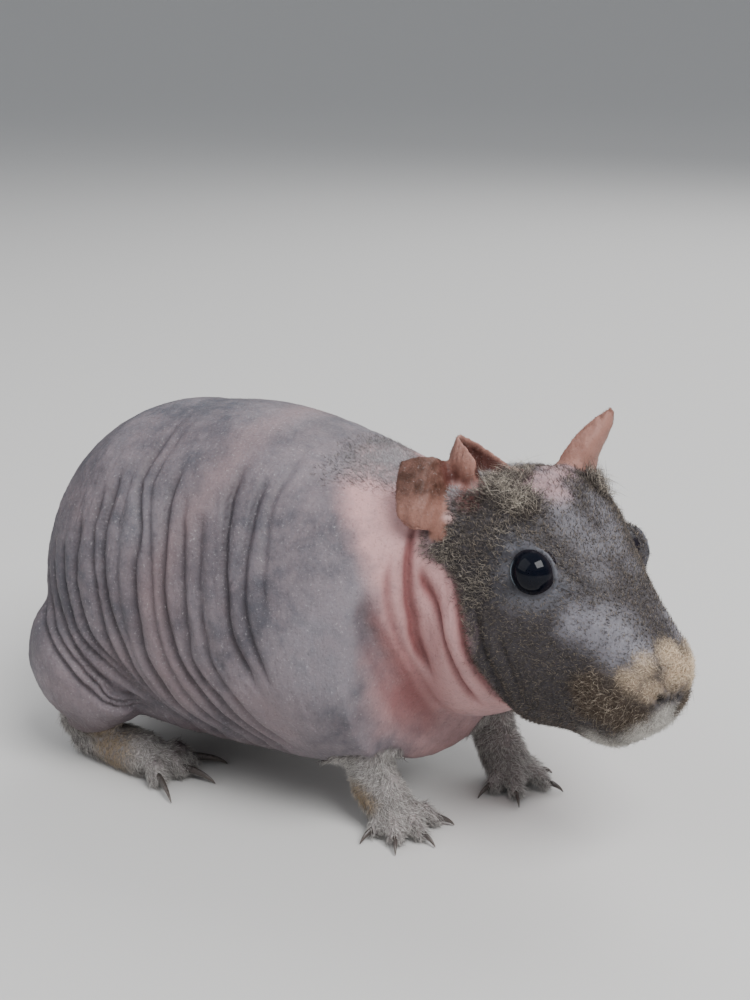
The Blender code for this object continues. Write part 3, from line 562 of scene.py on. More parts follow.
def smoothed(values, edges, rounds, weight=1.0):
    """Values on the mesh's points, averaged with their neighbours so many times."""
    count = np.bincount(edges.ravel(), minlength=len(values))[:, None]
    share = np.asarray(weight, float)
    share = share[:, None] if share.ndim else share
    flat = values.ndim == 1
    values = values[:, None].copy() if flat else values.copy()
    for _ in range(rounds):
        total = np.empty_like(values)
        for axis in range(values.shape[1]):
            total[:, axis] = np.bincount(
                edges[:, 0], values[edges[:, 1], axis], len(values)
            ) + np.bincount(edges[:, 1], values[edges[:, 0], axis], len(values))
        values += (total / count - values) * share * 0.8
    return values[:, 0] if flat else values


def grain(points, size, seed):
    """Soft random values from -1 to 1 whose patches are about size across."""
    lattice = np.random.default_rng(seed).random((LATTICE, LATTICE, LATTICE)) * 2 - 1
    scaled = points / size
    base = np.floor(scaled).astype(int)
    part = scaled - base
    part = part * part * (3 - 2 * part)
    total = np.zeros(len(points))
    for corner in np.ndindex(2, 2, 2):
        weight = np.prod(np.abs(1 - np.array(corner) - part), axis=1)
        total += weight * lattice[tuple(((base + corner) % LATTICE).T)]
    return total


def bell(values, width, middle=0.0):
    """1 at the middle, falling softly to 0 some widths away."""
    return np.exp(-(((values - middle) / width) ** 2))


skin = fused_skin()
points = read_vectors(skin.data, "co") / MM + (FORWARD_SHIFT, 0.0, 0.0)
edge_flat = np.empty(len(skin.data.edges) * 2, int)
skin.data.edges.foreach_get("vertices", edge_flat)
skin_edges = edge_flat.reshape(-1, 2)

# Where the neck and the haunch leave the body the skin runs over in a soft hollow
HAUNCH_REACH = 27.0
head_coords = to_head(points)
neck_line = np.minimum(np.abs(points[:, 0] - TORSO_END), np.abs(head_coords[:, 0] - HEAD_LENGTH))
up = points[:, 2]
joint = (1 - smooth_step(neck_line, 2.0, 6.0)) * (0.15 + 0.85 * smooth_step(up, 36.0, 50.0))
for sizes in HINDLEGS.values():
    haunch = 1 - smooth_step(np.linalg.norm((points - sizes["thigh"]) / HAUNCH_REACH, axis=1), 0.45, 1.0)
    joint = np.maximum(joint, haunch * smooth_step(up, 27.0, 36.0))
clear_of_floor = smooth_step(up, 6.0, 12.0)
points = smoothed(points, skin_edges, SMOOTH_ROUNDS, 0.5)
points = smoothed(points, skin_edges, JOINT_ROUNDS, joint * clear_of_floor)
write_points(skin.data, points)
normals = read_vectors(skin.data, "normal")
x, left, up = points.T

# Folds of the haunch and the flank: each valley's strength, its lowest and highest place, and
# where it runs along the body at each of these heights over the floor
FOLD_HEIGHTS = (20, 26, 33, 41, 50, 60, 70, 80)
FLANK_FOLDS = [
    (0.9, 15, 50, (-38, -48.5, -56.5, -65.5, -71, -75, -77, -77)),
    (0.9, 15, 56, (-35, -44.5, -52, -61, -67, -70, -71, -71)),
    (1.0, 15, 60, (-32, -41, -48.6, -56.5, -62, -65, -65.5, -65)),
    (0.9, 15, 64, (-30, -36, -42.8, -51.8, -56, -59, -59.5, -59)),
    (0.9, 13, 70, (-28.8, -34.6, -39.6, -47.4, -51.2, -53.5, -54, -54)),
    (0.8, 10, 78, (-27.6, -33.3, -37.7, -42.4, -44.5, -47.3, -49, -49.5)),
    (1.0, 10, 82, (-26, -30.8, -34.4, -37.4, -41.2, -44, -45, -46)),
    (0.35, 10, 84, (-23, -28, -31.5, -34.5, -37, -39, -40.5, -42)),
    (0.9, 10, 90, (-19, -24.3, -27.2, -30.7, -32.1, -33.9, -34.2, -39)),
    (0.55, 10, 90, (-11, -17, -21.2, -24.2, -26.6, -28.2, -31, -35)),
    (1.0, 10, 84, (-5, -11, -15.8, -20.2, -23.1, -25, -26.3, -28)),
    (0.8, 12, 78, (0, -6, -10.7, -16.2, -17.5, -19.2, -21.2, -23.5)),
    (0.6, 16, 76, (5, -1, -6, -10.5, -12.5, -14.5, -16.3, -19)),
    (1.0, 36, 86, (9, 6, 3, -1.3, -5.7, -7.4, -9.8, -12.4)),
    (0.8, 37, 84, (12, 9, 7, 3.9, -0.2, -3, -4.2, -5.7)),
    (0.5, 54, 88, (14.5, 12, 9, 6, 3.5, 2, 0.3, -2)),
]
FOLD_DEPTH, FOLD_WIDTH, FOLD_FADE = 1.6, 0.9, 9.0
# Each fold has a broad shallow trough about its valley: its depth's share and how much wider it is
TROUGH_SHARE, TROUGH_WIDTH = 0.3, 2.7


def valley_of(heights, line, width, wander):
    """How deep a valley is at each point, from 0 to 1, and where it runs at that height."""
    places = smooth_table(list(zip(heights, line)))
    here = places(up)[0]
    slope = places(up + 1.0)[0] - here
    away = (x + wander - here) / np.sqrt(1 + slope**2) / width
    return bell(away, 1.0) + TROUGH_SHARE * bell(away, TROUGH_WIDTH), here


def between(low, top):
    """1 between two heights, fading out towards either."""
    return smooth_step(top - up, 0, FOLD_FADE) * smooth_step(up - low, 0, FOLD_FADE)


wander = 0.45 * grain(points, 11.0, 1) + 0.2 * grain(points, 4.0, 2)
on_body = smooth_step(TORSO_END - x, -2.0, 8.0) * smooth_step(up, 9.0, 14.0)
crease = np.zeros(len(points))
# The station counts millimetres along the back, and runs down the side along the folds
station = np.full(len(points), FLANK_FOLDS[0][3][-1]) + np.minimum(x - FLANK_FOLDS[0][3][0], 0)
before, before_top = None, 0.0
for k, (strength, low, top, line) in enumerate(FLANK_FOLDS):
    valley, here = valley_of(FOLD_HEIGHTS, line, FOLD_WIDTH, wander)
    ragged = 3.0 * grain(points, 9.0, 60 + k)
    crease = np.maximum(crease, strength * between(low, top + 2 + ragged) * valley)
    if before is not None:
        share = np.clip((x - before) / (here - before), 0, 1)
        station += share * (line[-1] - before_top)
    before, before_top = here, line[-1]
station += np.maximum(x - before, 0)
on_side = smooth_step(np.abs(left), 2.0, 14.0)
flank = crease * on_body * (0.25 + 0.75 * on_side)
rise = -FOLD_DEPTH * flank

# The broad soft hollow between the barrel and the shoulder
HOLLOW_HEIGHTS, HOLLOW_LINE = (20, 33, 45, 60), (8.0, 2.5, -2.0, -4.0)
HOLLOW_WIDTH, HOLLOW_DEPTH = 5.0, 0.9
hollow, _ = valley_of(HOLLOW_HEIGHTS, HOLLOW_LINE, HOLLOW_WIDTH, 0.0)
rise -= HOLLOW_DEPTH * hollow * on_body * on_side * smooth_step(60.0 - up, 0.0, 22.0)

# Folds of the neck, crowded on the side that the head turns to, from the shoulder to the jaw:
# strength, lowest and highest place, width and where each runs at these heights
NECK_HEIGHTS = (26, 34, 42, 50, 58, 66, 76)
NECK_FOLDS = [
    (1.3, 18, 66, 1.8, (28.9, 28.5, 28.1, 27.2, 25.2, 24.5, 24)),
    (0.5, 24, 74, 0.8, (32, 31, 30.4, 29.8, 29.1, 28.5, 28)),
    (1.0, 38, 82, 0.8, (35, 33.5, 32.4, 31.9, 32.1, 32, 31)),
    (0.9, 30, 72, 0.8, (44, 42.5, 41, 39.3, 36.4, 34.3, 33.4)),
    (1.1, 24, 70, 0.9, (53, 50, 47, 44.7, 43.3, 40.7, 34.5)),
    (0.8, 32, 66, 0.8, (57, 54, 51.2, 49.2, 47.6, 46.2, 44.5)),
    (0.55, 33, 60, 0.8, (60, 58, 55.8, 53.9, 51.5, 50, 48)),
]
NECK_FOLD_DEPTH = 1.2
NECK_RIPPLE = 0.2
near_side = 0.12 + 0.88 * smooth_step(-left, -16.0, 4.0)
neck_crease = np.zeros(len(points))
for strength, low, top, width, line in NECK_FOLDS:
    valley, _ = valley_of(NECK_HEIGHTS, line, width * 0.85, wander * 0.5)
    neck_crease = np.maximum(neck_crease, strength * between(low, top) * valley)
neck_crease *= near_side * smooth_step(x, 20.0, 25.0)
rise -= NECK_FOLD_DEPTH * neck_crease
on_neck = smooth_step(x, 22.0, 27.0) * smooth_step(head_coords[:, 0], 30.0, 38.0)
neck_place = x - 0.35 * (58.0 - up) * smooth_step(x, 30.0, 44.0)
rise += NECK_RIPPLE * grain(np.stack([neck_place, left * 0.2, up * 0.25], -1), 1.2, 10) * on_neck

# Small wrinkles between the folds, about two millimetres apart, and fine creases along them
WRINKLE_GAP, WRINKLE_DEPTH = 2.3, 0.17
FINE_DEPTH, FINEST_DEPTH, PORE_DEPTH = 0.15, 0.10, 0.06
stretched = np.stack([station, left * 0.22, up * 0.22], -1)
drift = 1.6 * grain(stretched, 7.0, 16) + 0.6 * grain(points, 3.5, 17)
ripple = np.cos((station + drift) * (2 * np.pi / WRINKLE_GAP))
patchy = smooth_step(grain(stretched, 5.0, 18), -0.5, 0.4)
wrinkled = on_body * smooth_step(98.0 - up, 0.0, 30.0) * (0.3 + 0.7 * on_side)
wrinkled *= 0.35 + 0.65 * smooth_step(8.0 - x, 0.0, 22.0)
small = np.clip(-ripple, -0.4, 1) * patchy
rise -= WRINKLE_DEPTH * small * wrinkled
fine = FINE_DEPTH * grain(stretched, 1.3, 7)
fine += FINEST_DEPTH * grain(np.stack([station, left * 0.45, up * 0.45], -1), 0.8, 8)
rise += fine * (0.4 * on_body + 0.6 * wrinkled)
rise += PORE_DEPTH * grain(points, 1.1, 9)
# Painted shade: how dark the hide is painted in the valleys of the folds and of the small wrinkles
crease_shade = smoothed(np.clip(flank * 0.95 + np.minimum(neck_crease, 0.85), 0, 1), skin_edges, 1)
crease_shade = np.clip(crease_shade + 0.28 * np.clip(small, 0, 1) * wrinkled, 0, 1)


# Face: the nostrils, the line of the mouth and the cleft lip, in the head's own places
NOSTRIL_LINE = [(2.6, 6.0, -5.0), (1.0, 4.2, -6.4), (0.4, 2.4, -8.0)]
MOUTH_LINE = [(2.4, 0.0, -15.0), (3.2, 3.0, -16.0), (5.4, 6.2, -17.0), (9.4, 9.0, -17.0)]
CLEFT_LINE = [(0.4, 0.0, -8.5), (1.0, 0.0, -11.0), (1.9, 0.0, -14.2)]


def distance_to_line(places, line):
    """Shortest way from each place to a bent line."""
    best = np.full(len(places), 1e9)
    corners = [np.array(corner, float) for corner in line]
    for start, finish in zip(corners, corners[1:]):
        run = finish - start
        share = np.clip(((places - start) @ run) / (run @ run), 0, 1)[:, None]
        best = np.minimum(best, np.linalg.norm(places - start - run * share, axis=1))
    return best


mirrored = np.stack([head_coords[:, 0], np.abs(head_coords[:, 1]), head_coords[:, 2]], -1)
nostril, mouth, cleft = (
    distance_to_line(mirrored, line) for line in (NOSTRIL_LINE, MOUTH_LINE, CLEFT_LINE)
)
# Each groove, and each soft lip beside one: the line, how far off it, height and width
for away, middle, height, width in (
    (nostril, 0.0, -1.5, 0.75), (nostril, 1.7, 0.45, 0.8), (mouth, 0.0, -1.3, 0.65),
    (mouth, 1.7, 0.35, 0.9), (cleft, 0.0, -0.8, 0.6),
):
    rise += height * bell(away, width, middle)
# Painted shade: the nostrils and the mouth's line are darkened to near-black in their grooves
groove_shade = np.clip(bell(nostril, 0.9) + bell(mouth, 0.8) * 0.8, 0, 1)
points = points + normals * rise[:, None]

# Lids, in degrees from the middle of the eye and in millimetres from the eyeball's surface
LID_OPENING = {"right": 65.0, "left": 52.0}
CORNER_REACH, LID_OVAL = 5.0, 3.0
LID_UNDER, LID_OVER = 1.3, 0.25
RIM_PLACE, RIM_WIDTH, RIM_HEIGHT = 5.0, 6.5, 0.75
LID_CREASES, LID_CREASE_WIDTH, LID_CREASE_DEPTH = (22.0, 33.0), 3.0, 0.35
lid_mask = np.zeros(len(points))
eye_ring = np.full(len(points), 99.0)
for side_name in SIDES:
    out, nose, upward = eye_frame(side_name)
    arm = points - eye_centres[side_name]
    reach = np.linalg.norm(arm, axis=1)
    around = np.degrees(np.arccos(np.clip(arm @ out / reach, -1, 1)))
    turn = np.arctan2(arm @ upward, arm @ nose)
    opening = LID_OPENING[side_name] + CORNER_REACH * bell(turn, 0.35) + LID_OVAL * np.cos(2 * turn)
    beyond = around - opening
    close = 1 - smooth_step(reach, 9.0, 12.0)
    hidden = 1 - smooth_step(beyond, -3.0, 3.0)
    target = EYE_RADIUS - LID_UNDER + (LID_UNDER + LID_OVER) * (1 - hidden)
    wanted = np.where(beyond < 10.0, target + RIM_HEIGHT * bell(beyond, RIM_WIDTH, RIM_PLACE), reach)
    blend = close * (1 - smooth_step(beyond, 6.0, 18.0))
    points = points + arm / reach[:, None] * ((wanted - reach) * blend)[:, None]
    creases = sum(bell(beyond, LID_CREASE_WIDTH, place) for place in LID_CREASES)
    creases *= LID_CREASE_DEPTH * (1 - smooth_step(reach, 9.5, 13.0))
    points = points - normals * creases[:, None]
    lid_mask = np.maximum(lid_mask, close * bell(np.maximum(beyond, 0), 12.0))
    eye_ring = np.minimum(eye_ring, np.where(reach < 14, np.abs(beyond), 99.0))

# The hide lies inside the coat by the hairs' own depth
FUZZ_DEPTH, HEAD_FUR_DEPTH, FOOT_FUR_DEPTH = 0.2, 0.25, 0.45
FOOT_FUR_REACH, TOE_FUR_REACH = 7.8, 4.0
head_fur = smooth_step(58 - head_coords[:, 0], 0.0, 10.0) * (1 - lid_mask)
foot_fur = np.zeros(len(points))
ragged = 1.4 * grain(points, 3.0, 14) + 0.8 * grain(points, 1.4, 15)
for legs, hem in ((FORELEGS, 20.5), (HINDLEGS, 15.0)):
    for *joints, toes in (sizes.values() for sizes in legs.values()):
        away = distance_to_line(points, joints[-3:]) + 0.5 * ragged
        furry = 1 - smooth_step(away, FOOT_FUR_REACH, FOOT_FUR_REACH + 1.6)
        for tip in toes:
            away = distance_to_line(points, [joints[-1], (*tip, 2.0)])
            furry = np.maximum(furry, 1 - smooth_step(away, TOE_FUR_REACH, TOE_FUR_REACH + 1.2))
        furry *= 1 - smooth_step(points[:, 2] + ragged, hem - 1.2, hem + 1.2)
        foot_fur = np.maximum(foot_fur, furry)
depth = FUZZ_DEPTH + HEAD_FUR_DEPTH * head_fur + FOOT_FUR_DEPTH * foot_fur
points = points - normals * depth[:, None]
points[:, 2] = np.maximum(points[:, 2], 0.0)
write_points(skin.data, points)
normals = read_vectors(skin.data, "normal")
skin.data.shade_smooth()
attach(skin, "root")
paired = ("ear", "foreleg", "forefoot", "hindleg", "hindfoot")
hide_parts("torso", "neck", "head", *[f"{part}_{k}" for k in SIDES for part in paired])


# Markings: which part of the hide is slate, mauve, pink or tan. That colour lies in the skin itself,
# in soft uneven patches. Other masks mark painted shade: low on the belly, in the folds and wrinkles,
# on the upper band of the ear's lobe, in the ear's hollows and at its root, in the nostrils and the
# mouth's line, and in the lids' fold. The hide and the hairs that grow on it read the same masks.
# The edge of the dark head, as (up, back) of the nose tip
JAW_EDGE = [
    (-44, 30), (-34, 30.5), (-24, 34.5), (-19, 36.5), (-15, 38), (-10, 39.2), (-6, 41), (-3, 43),
    (1, 45.5), (3, 49), (8, 53.5), (14, 55), (26, 56),
]

masks = {}
x, left, up = points.T
head_coords = to_head(points)
back, head_left, head_up = head_coords.T
uneven = grain(points, 18.0, 11) * 0.6 + grain(points, 7.0, 12) * 0.3 + grain(points, 3.0, 13) * 0.2
broken = grain(points, 7.0, 12) * 0.4 + grain(points, 2.8, 13) * 0.5 + grain(points, 1.3, 19) * 0.35


def round_marks(places, ragged, edge, rows, both):
    """A mask of soft round patches whose edges are ragged, on the right or on both sides."""
    mask = np.zeros(len(places))
    for *middle, radius in rows:
        for sign in (1, -1) if both else (1,):
            away = np.linalg.norm(places - np.array(middle) * (1, sign, 1), axis=1) / radius
            mask = np.maximum(mask, 1 - smooth_step(away + ragged, edge, edge + 1.0))
    return mask


def patches(*rows, both=False):
    """Patches on the head, as (back, left, up, radius)."""
    return round_marks(head_coords, 0.28 * broken, 0.25, rows, both)


def spots(*rows, both=False):
    """Patches on the body, as (x, left, up, radius)."""
    return round_marks(points, 0.3 * uneven, 0.2, rows, both)


jaw_edge = smooth_table(JAW_EDGE)(head_up)[0]
on_head = smooth_step(jaw_edge + 2.0 * uneven + 1.2 * broken - back, -2.0, 3.5)
on_head *= smooth_step(x, 28.0, 33.0)
pink_edge = 25.0 - 15.0 * smooth_step(up, 64.0, 88.0)
neck_pink = smooth_step(x + 3.5 * uneven, pink_edge - 3.5, pink_edge + 3.5) * (1 - on_head)
neck_pink *= 1 - 0.45 * smooth_step(34.0 - up + 3 * uneven, 0.0, 14.0)
nape = smooth_step(up + 0.12 * x + 2.5 * uneven, 84.0, 89.0)
nape *= smooth_step(x, 1.0, 17.0) * (1 - on_head)
neck_pink *= 1 - 0.7 * nape
band_middle = -25.0 + 9.0 * smooth_step(up, 60.0, 88.0)
band = bell(x - band_middle + 4 * uneven, 5.0) * smooth_step(up, 20.0, 60.0)
forehead = patches(
    (45.1, -4.1, 23.8, 7.0), (41, -4.9, 22.6, 5.5), (45.5, -9.5, 22.5, 5.0), (48, 2, 24, 7.0),
    (51, 6, 24, 6.0),
)
# Painted shade: the hide is darkened low on the body, towards the floor, where the belly lies in shade
under = 1 - smooth_step(up + 4 * uneven, 9.0, 24.0)
haunch_light = spots((-52, -44, 26, 18), (-40, -40, 34, 12), both=True)
shoulder_light = spots((14, -38, 46, 16), (18, -34, 60, 13), (14, 38, 46, 16))
shoulder_dark = spots((6, -34, 72, 14), (3, -38, 62, 11), (6, 34, 72, 14), (-6, -36, 84, 14))
lower_flank = spots((0, -38, 28, 17), (-20, -42, 32, 15), both=True)
light = 0.36 + 0.45 * grain(points, 17.0, 31) + 0.34 * grain(points, 6.5, 32)
light += 0.16 * grain(points, 2.5, 33)
light += 0.7 * haunch_light + 0.6 * shoulder_light - 0.6 * shoulder_dark + 0.5 * lower_flank
masks["light"] = light - 0.35 * smooth_step(-48.0 - x, 0.0, 14.0) * smooth_step(up, 38.0, 52.0)
masks["pink"] = neck_pink + forehead * 0.55
mauve = 0.7 * band + 0.35 * haunch_light + 0.5 * lower_flank + 0.25
masks["mauve"] = mauve * (1 - on_head) + 0.3 * uneven
masks["belly"] = under * (1 - on_head)
masks["head"] = on_head * (1 - forehead * 0.8)
cheekbone = patches(
    (11.1, 10, 2.6, 7.5), (14.7, 11.1, 3.2, 7.0), (6.9, 8, 2.2, 5.5), (19, 12.5, 2.5, 6.0), both=True
)
brow = patches(
    (33.5, 5.3, 18.7, 6.0), (37, 6, 20.2, 5.0), (28.7, 3.1, 16.4, 6.0), (22, 6, 14.5, 5.0), both=True
)
masks["bare"] = np.maximum(0.8 * cheekbone, 0.45 * brow)
masks["tan"] = np.maximum(
    patches((-0.1, 0.2, -0.8, 5.5), (2.2, -1.5, 2.4, 4.5), (1.5, 3, -1.5, 5.0)),
    0.7 * patches((3.6, 7.6, 0.1, 3.8), (4.3, 9.7, -3.6, 3.8), (1.7, 6.1, -4.9, 3.6), both=True),
)
masks["whisker"] = patches(
    (5.6, 12.5, -10.1, 6.0), (10.4, 13.7, -9.8, 6.5), (2.1, 8.2, -12.7, 5.0), both=True
)
masks["pale"] = np.maximum(
    patches((1.1, 0, -14.3, 5.0), (2.4, 3.4, -17.5, 5.5), (0.7, 0.5, -12.4, 4.0), both=True),
    0.8 * patches((6.7, 3.1, -22.9, 6.5), (9.1, 7.1, -22.6, 5.5), both=True),
)
masks["crown"] = patches(
    (44.5, -13.8, 20.3, 4.0), (41.2, -13.2, 20, 3.2), (49.6, -13.9, 21, 4.2), (50, -9, 23, 3.0),
    (48, 14, 22.5, 4.5), (43, 11, 21.5, 4.0),
)
masks["temple"] = patches(
    (40.6, 23.8, 2.3, 6.0), (50, 25.5, 6, 6.5), (43, 26, -7.4, 6.5), (39, 18.4, 13.4, 5.0), both=True
)
# Painted shade in the folds and the small wrinkles
masks["crease"] = crease_shade
masks["face_groove_shade"] = groove_shade
masks["lid"] = lid_mask
# The lids' dark margin, and a second dark ring painted as shade in the lid's fold
masks["lid_line_and_fold_shade"] = np.maximum(bell(eye_ring, 4.5), 0.6 * bell(eye_ring, 4.0, 26.0))
masks["foot"] = foot_fur
masks["foot_tan"] = spots(
    (-51, -33, 9, 8.5), (-51, 33, 9, 8.5), (19.5, -24, 9.5, 4.5), (33.5, 24, 9.5, 4.5)
)
masks["nape"] = nape


def add_layer(mesh, name, values):
    """Keeps one number for each point of a mesh, for its finish to read."""
    layer = mesh.attributes.new(name, "FLOAT", "POINT")
    layer.data.foreach_set("value", values.astype(np.float32))


def ear_masks(points):
    """On the ears, root to rim, on the hanging lobe, its upper part, and inside the cups; the upper part of
    the lobe and the inside of the cups are painted in shade.
    """
    found, rim, lobe, lobe_top_shade, hollow = np.zeros((5, len(points)))
    closest = np.full(len(points), 9.0)
    for name, sheet in ear_sheets.items():
        coarse = sheet[::3, ::3]
        low, high = coarse.min((0, 1)) - 3, coarse.max((0, 1)) + 3
        inside = np.nonzero(np.all((points > low) & (points < high), axis=1))[0]
        flat = coarse.reshape(-1, 3)
        row, column = np.meshgrid(*(np.linspace(0, 1, n) for n in coarse.shape[:2]), indexing="ij")
        for start in range(0, len(inside), 4000):
            part = inside[start : start + 4000]
            gap = np.linalg.norm(points[part][:, None] - flat[None], axis=2)
            nearest = gap.argmin(1)
            distance = gap[np.arange(len(part)), nearest]
            better = distance < closest[part]
            part, nearest, distance = part[better], nearest[better], distance[better]
            closest[part] = distance
            found[part] = 1 - smooth_step(distance, 1.2, 2.2)
            rim[part] = row.ravel()[nearest]
            lobe[part] = found[part] * (name == "lobe")
            # The lobe's upper part, which is painted in shade
            lobe_top_shade[part] = lobe[part] * (1 - smooth_step(column.ravel()[nearest], 0.45, 0.75))
            # The inside of the scoop, away from its rim, which is painted in shade
            inward = np.sum((points[part] - flat[nearest]) * (flat.mean(0) - flat[nearest]), axis=1)
            hollow[part] = found[part] * (name == "scoop") * (inward > 0)
            hollow[part] *= 1 - smooth_step(rim[part], 0.75, 0.98)
    return found, rim, lobe, lobe_top_shade, hollow


masks["ear"], masks["rim"], masks["lobe"], masks["lobe_top_shade"], cup_shade = ear_masks(points)
masks["ear"] *= 1 - smooth_step(17.0 - head_up, 0.0, 3.0) * (1 - masks["lobe"])
# Painted shade, near-black, in the ear canal, the notch between the scoop and the lobe, and inside the scoop
deep_shade = patches((51.9, -19.3, 15.9, 3.2), (62, -19, 18, 3.0), (57, -13, 17.5, 4.5))
masks["ear_hollow_shade"] = np.maximum(cup_shade, deep_shade)
masks["ear_bead"] = patches((52.3, -24.5, 13.1, 1.5))
# Painted shade, dark red, on the scoop's far wall at its root and in the gap towards the lobe
masks["ear_root_shade"] = patches(
    (60, -17.8, 17.5, 4.5), (56, -17.5, 17.5, 4.2), (53.5, -19.5, 15.5, 3.5), (62, -21, 19, 3.5)
)
masks["ear_ridge"] = patches(
    (57.6, -18.5, 17.2, 2.0), (54.0, -16.8, 18.6, 2.0), (50.8, -14.6, 19.4, 2.0)
)
for name, values in masks.items():
    masks[name] = np.clip(values, 0, 1)
    add_layer(skin.data, name, masks[name])


# Hide's finish: thin matt skin, slate with a purple cast, mauve below and bare pink on the neck,
# with pores and pale flakes. Its colour is built up in layers, each laid on by one of the masks; some
# of the layers are painted shade, in the folds, hollows and grooves and low on the belly.
DARK_SLATE = (0.078, 0.078, 0.094)
LIGHT_SLATE = (0.205, 0.186, 0.208)
MAUVE = (0.235, 0.168, 0.176)
BARE_PINK = (0.520, 0.300, 0.295)
# Painted shade in the folds, dark red on the pink skin; FOLD_SHADE is the same shade elsewhere
CREASE_SHADE_RED = (0.190, 0.062, 0.062)
# Painted shade, dark brown, low on the belly
BELLY_SHADE = (0.100, 0.070, 0.074)
HEAD_GREY = (0.046, 0.040, 0.044)
BLUE_GREY = (0.240, 0.232, 0.262)
TAN = (0.600, 0.450, 0.310)
PALE = (0.500, 0.460, 0.420)
EAR_TAN = (0.320, 0.160, 0.126)
# Painted shade, dark brown, on the ear's back over the upper band of the hanging lobe
EAR_SHADE_BROWN = (0.066, 0.027, 0.017)
# Painted shade, near-black, in the ear's hollows
EAR_HOLLOW_SHADE = (0.060, 0.018, 0.015)
LIMB_GREY = (0.280, 0.258, 0.250)
NAPE_GREY = (0.300, 0.290, 0.310)
WHISKER_BROWN = (0.150, 0.110, 0.080)
CROWN_BROWN = (0.210, 0.155, 0.140)
LOBE_BROWN = (0.220, 0.105, 0.080)
# Painted shade, dark red, at the root of the near ear
EAR_SHADE_RED = (0.140, 0.050, 0.040)
EAR_PALE = (0.520, 0.330, 0.310)
FOLD_SHADE = (0.034, 0.028, 0.034)
# Painted shade, near-black, in the nostrils and the mouth's groove
NOSTRIL_SHADE = (0.010, 0.007, 0.007)
LID_GREY = (0.190, 0.195, 0.225)
# The lids' dark margin, and painted shade in the lid's fold
LID_LINE_AND_FOLD_SHADE = (0.020, 0.018, 0.022)
FLAKE = (0.52, 0.50, 0.51)
SPECK = (0.022, 0.018, 0.022)


class Wire:
    """A shader socket that works in sums and products like a number."""

    def __init__(self, tree, socket=None):
        self.tree = tree
        self.socket = socket

    def node(self, kind, settings=None, sockets=None, output=0):
        """Adds a node, with its settings first and then its sockets' values or links."""
        made = self.tree.nodes.new(kind)
        for key, value in (settings or {}).items():
            setattr(made, key, value)
        for key, value in (sockets or {}).items():
            if isinstance(value, Wire):
                self.tree.links.new(value.socket, made.inputs[key])
            else:
                made.inputs[key].default_value = value
        return Wire(self.tree, made.outputs[output])

    def math(self, operation, *values, clamp=False):
        """A sum, difference or product of wires and numbers."""
        settings = {"operation": operation, "use_clamp": clamp}
        return self.node("ShaderNodeMath", settings, dict(enumerate(values)))

    def __add__(self, other):
        return self.math("ADD", self, other)

    def __radd__(self, other):
        return self.math("ADD", other, self)

    def __sub__(self, other):
        return self.math("SUBTRACT", self, other)

    def __rsub__(self, other):
        return self.math("SUBTRACT", other, self)

    def __mul__(self, other):
        return self.math("MULTIPLY", self, other)

    def __rmul__(self, other):
        return self.math("MULTIPLY", other, self)

    def clamp(self):
        """The same, kept between 0 and 1."""
        return self.math("ADD", self, 0.0, clamp=True)

    def mask(self, name):
        """A marking that the mesh carries."""
        return self.node("ShaderNodeAttribute", {"attribute_name": name}, output=2)

    def noise(self, scale, detail, stretch=(1, 1, 1)):
        """Grainy variation from 0 to 1; scale is in grains to a metre."""
        place = self.node("ShaderNodeTexCoord", output=3)
        sized = self.node("ShaderNodeVectorMath", {"operation": "MULTIPLY"}, {0: place, 1: stretch})
        sockets = {"Vector": sized, "Scale": scale, "Detail": detail, "Roughness": 0.55}
        return self.node("ShaderNodeTexNoise", None, sockets)

    def mix(self, first, second, factor):
        """A colour between first and second."""
        settings = {"data_type": "RGBA", "blend_type": "MIX"}
        sockets = {0: factor}
        for key, colour in ((6, first), (7, second)):
            sockets[key] = colour if isinstance(colour, Wire) else (*colour, 1.0)
        return self.node("ShaderNodeMix", settings, sockets, output=2)

    def layers(self, colour, *coats):
        """A colour with others laid over it in turn, each as (colour, how much of it shows)."""
        for over, share in coats:
            colour = self.mix(colour, over, share)
        return colour


def finish(name, constants):
    """A new material, its node maker and its surface shader with its constant values."""
    material = bpy.data.materials.new(name)
    material.use_nodes = True
    tree = material.node_tree
    shader = tree.nodes["Principled BSDF"]
    for key, value in constants.items():
        shader.inputs[key].default_value = value
    return material, Wire(tree), shader


def wear(shader, wire, colour, roughness, height=None, distance=0.0, strength=0.0):
    """Feeds a surface's colour and roughness, and its bump if it has one."""
    wire.tree.links.new(colour.socket, shader.inputs["Base Color"])
    wire.tree.links.new(roughness.socket, shader.inputs["Roughness"])
    if height is not None:
        sockets = {"Height": height, "Distance": distance, "Strength": strength}
        bump = wire.node("ShaderNodeBump", None, sockets)
        wire.tree.links.new(bump.socket, shader.inputs["Normal"])


